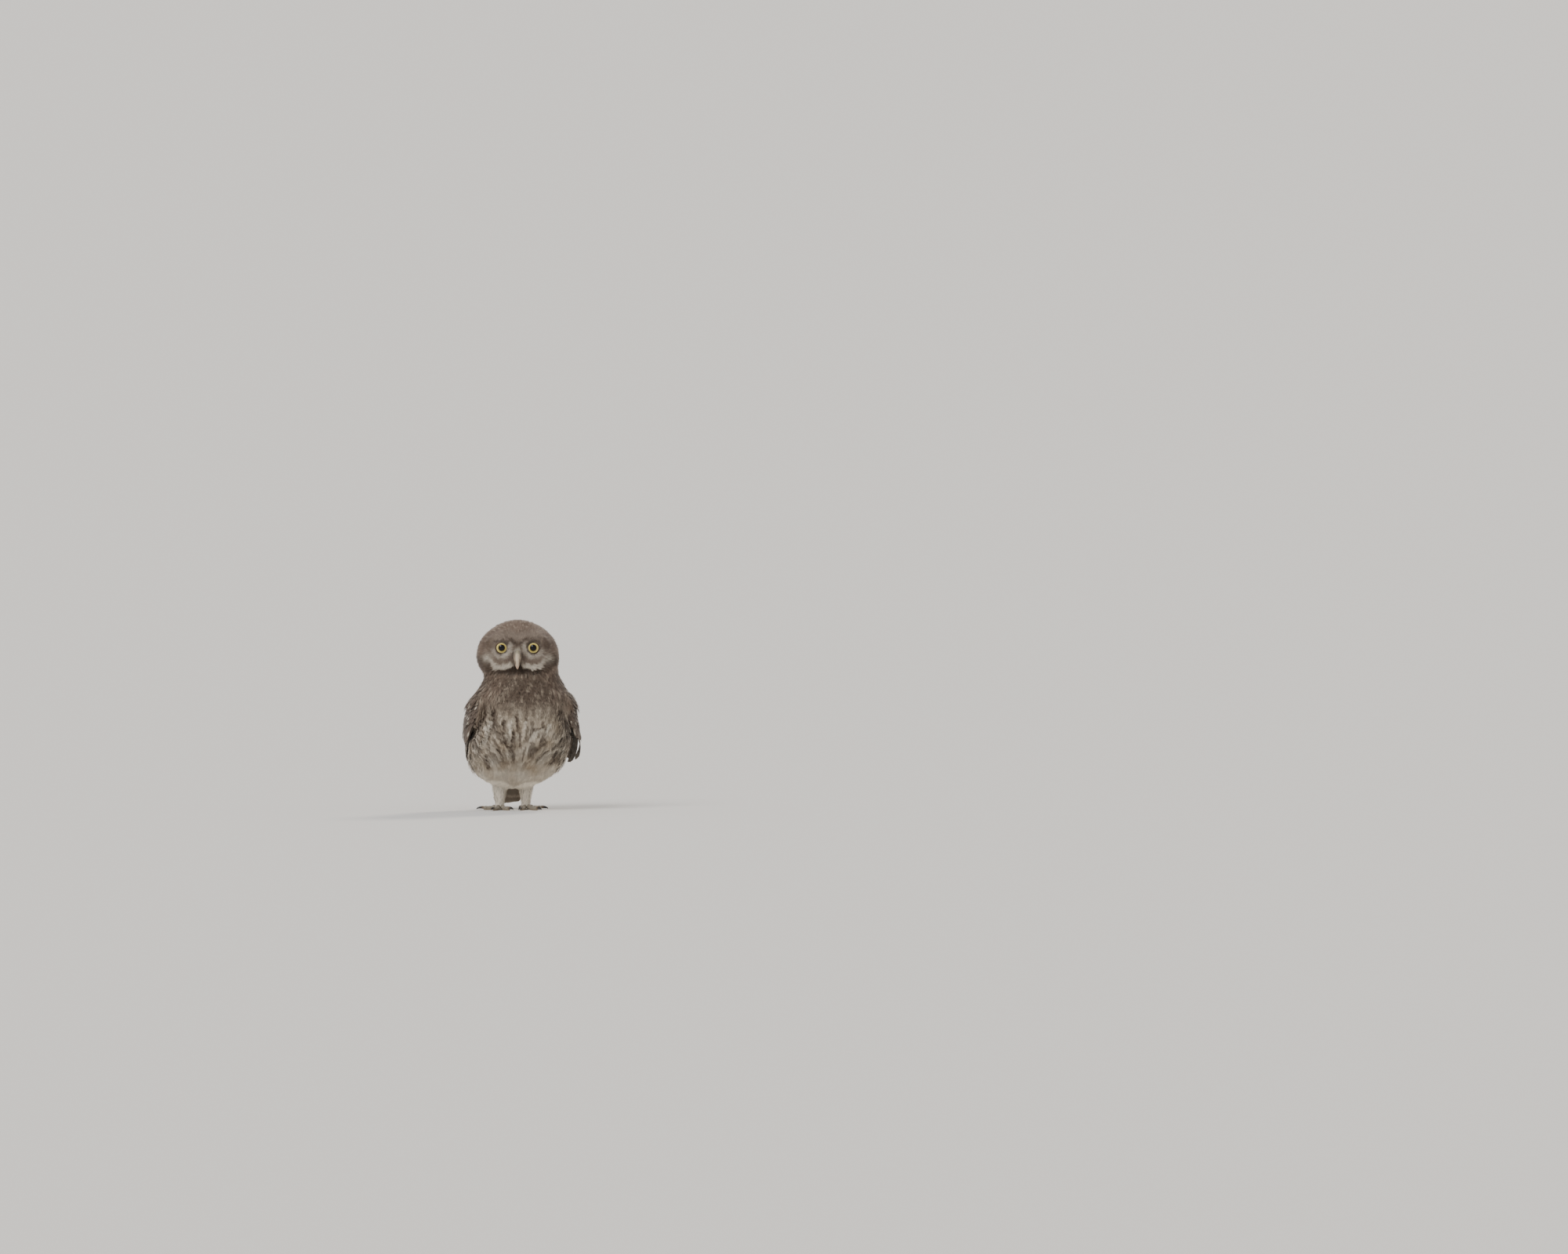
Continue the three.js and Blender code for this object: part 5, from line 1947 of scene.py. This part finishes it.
# How far in the primaries' tips hang, and those of the three foremost
TIPS_INWARD = {"left": (5.0, 0), "right": (2.6, 2.6)}


def flight_feathers(plan, rng, inward, inward_foremost):
    foremost = wing_row(
        plan, rng, 3, [(-22, 103), (-18, 99)], [(6.5, 57), (12.5, 52)],
        (3.2, 3.4), (0.5, 0.56), (0.0, 0.5 - inward_foremost), quill_paint, 26, -1.5,
    )
    primaries = wing_row(
        plan, rng, 8, [(-17, 98), (-8, 90)], [(12, 50), (17, 51.5), (24, 57), (33, 65)],
        (3.6, 4.6), (0.42, 0.62), (0.0, 0.4 - inward), quill_paint, 26, -1.5,
    )
    secondaries = wing_row(
        plan, rng, 11, [(-8, 96), (22, 111)], [(33, 64.5), (44, 76), (49, 88)],
        (4.8, 5.4), (0.66, 0.95), (0.1, 0.6), quill_paint, 24, -1.0,
    )
    tertials = wing_row(
        plan, rng, 3, [(20, 113), (26, 118)], [(49.5, 91), (49, 98), (45, 104)],
        (5.6, 6.0), (0.95, 1.0), (0.3, 0.9), covert_paint(0.7, 3.5), 18,
    )
    return foremost + primaries + secondaries + tertials


def greater_coverts(plan, rng):
    """The longer coverts, over the roots of the flight feathers."""
    hand = wing_row(
        plan, rng, 10, [(-28, 106), (-10, 97)], [(-14, 76), (-4, 71), (8, 76)],
        (2.8, 3.4), (0.8, 1.0), (0.1, 0.7), covert_paint(0.6, 3.0), 16,
    )
    thumb = wing_row(
        plan, rng, 5, [(-31, 113), (-23, 109)], [(-22, 86), (-9, 90)],
        (2.4, 3.0), (0.9, 1.0), (0.4, 1.1), covert_paint(0.8, 3.0), 14,
    )
    arm = wing_row(
        plan, rng, 13, [(-12, 98), (22, 116)], [(8, 79), (28, 87), (38, 101)],
        (4.0, 4.6), (1.0, 1.0), (0.4, 1.0), covert_paint(0.75, 3.4), 14,
    )
    middle = wing_row(
        plan, rng, 14, [(-22, 103), (18, 118)], [(-6, 86), (16, 94), (31, 107)],
        (3.4, 4.0), (1.0, 1.0), (0.6, 1.3), covert_paint(0.55, 2.8), 12,
    )
    return hand + thumb + arm + middle


def lesser_coverts(plan, rng):
    """Rows of short feathers that cover the upper part of the wing."""
    feathers = []
    for row in range(LESSER_ROWS):
        topmost = row == LESSER_ROWS - 1
        reach = 3 if topmost else 4  # the topmost row ends at the wing's upper edge
        tips = [np.array(tip) + row * np.array(step) for tip, step, _ in LESSER_TIPS[:reach]]
        roots = [tip + back for tip, (_, _, back) in zip(tips, LESSER_TIPS)]
        over = (0.5 - 0.6 * max(row - 2, 0), 1.5 + 0.1 * row)
        count = 8 if topmost else 15 - row
        paint = covert_paint(0.35 if row % 2 else 0.15, 2.2, 0.35)
        feathers += wing_row(plan, rng, count, roots, tips, (2.6, 3.2), (1.0, 1.0), over, paint, 10)
    return feathers


def scapulars(plan, rng):
    """The shoulder's long feathers, over the wing's upper edge."""
    feathers = []
    for row in range(3):
        tips = [np.array(tip) + row * np.array(step) for tip, step, _ in SCAPULAR_TIPS]
        roots = [tip + back for tip, (_, _, back) in zip(tips, SCAPULAR_TIPS)]
        over = (-1.2, 2.5 + 0.2 * row)
        paint = covert_paint(0.6 - 0.2 * row, 3.6 - 0.4 * row, 0.5)
        feathers += wing_row(plan, rng, 9 - row, roots, tips, (3.4, 4.4), (1.0, 1.0), over, paint, 14)
    return feathers


def make_wing(side, seed):
    plan = WingPlan(side)
    rng = np.random.default_rng(seed)
    quills = flight_feathers(plan, rng, *TIPS_INWARD[side])
    feather_piece(f"flight_feathers_{side}", quills, "flight_feathers", f"primaries_{side}")
    feather_piece(f"coverts_{side}", greater_coverts(plan, rng) + lesser_coverts(plan, rng), "plumage")
    feather_piece(f"scapulars_{side}", scapulars(plan, rng), "plumage")


def make_tail(seed):
    rng = np.random.default_rng(seed)
    plan = TailPlan()
    feathers = []
    for pair in range(6):
        for way in (-1, 1):
            root = (way * 0.9 * pair, 60)
            tip = (way * (1.5 + 2.0 * pair), 4.9 + 0.32 * pair + rng.normal(0, 0.2))
            level = 0.85 - 0.14 * pair
            half = 4.6 - 0.12 * pair
            over = (0, 0.25 * (way > 0))
            feather = firm_feather(plan, root, tip, half, level, over, tail_paint, rng, 30, 0.0, 0.3 * way)
            feathers.append(feather)
    feather_piece("tail_feathers", feathers, "flight_feathers", "tail")
    coverts = []
    for row, count in enumerate((8, 9, 10)):
        tips = [(-8 - row, 41 + 6 * row), (0, 36 + 6 * row), (8 + row, 41 + 6 * row)]
        roots = [(0.6 * across, height + 15) for across, height in tips]
        over = (-1.5 - 0.3 * row, 0.4 + 0.4 * row)
        coverts += wing_row(plan, rng, count, roots, tips, (2.5, 2.5), (0.9, 0.9), over, rump_paint, 12)
    for row, count in enumerate((8, 9)):
        tips = [(-7.5, 30 + 7 * row), (0, 26.5 + 7 * row), (7.5, 30 + 7 * row)]
        roots = [(0.7 * across, height + 17) for across, height in tips]
        over = (-3.6 - row, -0.8 - 1.2 * row)
        coverts += wing_row(plan, rng, count, roots, tips, (2.5, 2.5), (0.0, 0.0), over, vent_paint, 12)
    feather_piece("tail_coverts", coverts, "plumage")


for side in SIDES:
    make_eye(side)
make_skin()
make_bill()
make_claws()
make_wing("left", 201)
make_wing("right", 202)
make_tail(203)
make_coat()


# Floor, light and camera

CAMERA_AWAY = 24.0
SHEET_WIDTH = 1.64  # metres across the picture where the owl stands
PICTURE = (2000, 1600)
OWL_PLACE = (666, 912)  # the owl's middle in the picture, in its pixels
CAMERA_RISE = math.radians(1.8)


def lamp(name, energy, softness, azimuth, elevation, colour=(1, 1, 1)):
    """A broad distant lamp that shines from an azimuth (0 is ahead of the owl) and elevation."""
    light = bpy.data.lights.new(name, "SUN")
    light.energy = energy
    light.angle = math.radians(softness)
    light.color = colour
    piece = bpy.data.objects.new(name, light)
    turn, rise = math.radians(azimuth), math.radians(elevation)
    source = Vector((math.sin(turn) * math.cos(rise), -math.cos(turn) * math.cos(rise), math.sin(rise)))
    piece.rotation_euler = source.to_track_quat("Z", "Y").to_euler()
    bpy.context.scene.collection.objects.link(piece)


DOME_LIGHT = 0.8
HORIZON_LIGHT = 1.25  # as bright to the camera as the lit floor, so that no edge shows between them


def make_stage():
    bpy.ops.mesh.primitive_circle_add(vertices=96, radius=600, fill_type="NGON", location=(0, 0, 0))
    floor = bpy.context.object
    floor.name = "floor"
    floor.data.materials.append(floor_material())
    world = bpy.data.worlds.new("Studio")
    bpy.context.scene.world = world
    world.use_nodes = True
    tree = world.node_tree
    backing = tree.nodes["Background"]
    backing.inputs["Color"].default_value = (*SKY_GREY, 1)
    seen = tree.nodes.new("ShaderNodeLightPath").outputs["Is Camera Ray"]
    feed(tree, backing.inputs["Strength"], scaled(tree, seen, HORIZON_LIGHT - DOME_LIGHT, DOME_LIGHT))
    lamp("key", 2.2, 30, -35, 42)
    lamp("rim", 1.6, 12, 150, 35, (1.0, 0.93, 0.82))


def make_camera():
    low, high = (np.array(corner) for corner in solid_box)
    middle = (low + high) / 2
    per_pixel = SHEET_WIDTH / PICTURE[0]
    aside = (PICTURE[0] / 2 - OWL_PLACE[0]) * per_pixel
    above = (OWL_PLACE[1] - PICTURE[1] / 2) * per_pixel
    target = Vector((middle[0] + aside, middle[1], middle[2] + above))
    away = Vector((0, -math.cos(CAMERA_RISE), math.sin(CAMERA_RISE))) * CAMERA_AWAY
    view = bpy.data.cameras.new("camera")
    view.lens = view.sensor_width * CAMERA_AWAY / SHEET_WIDTH
    view.clip_start = 0.1
    view.clip_end = 1000
    camera = bpy.data.objects.new("camera", view)
    camera.location = target + away
    camera.rotation_euler = away.to_track_quat("Z", "Y").to_euler()
    bpy.context.scene.collection.objects.link(camera)
    bpy.context.scene.camera = camera


make_stage()
make_camera()
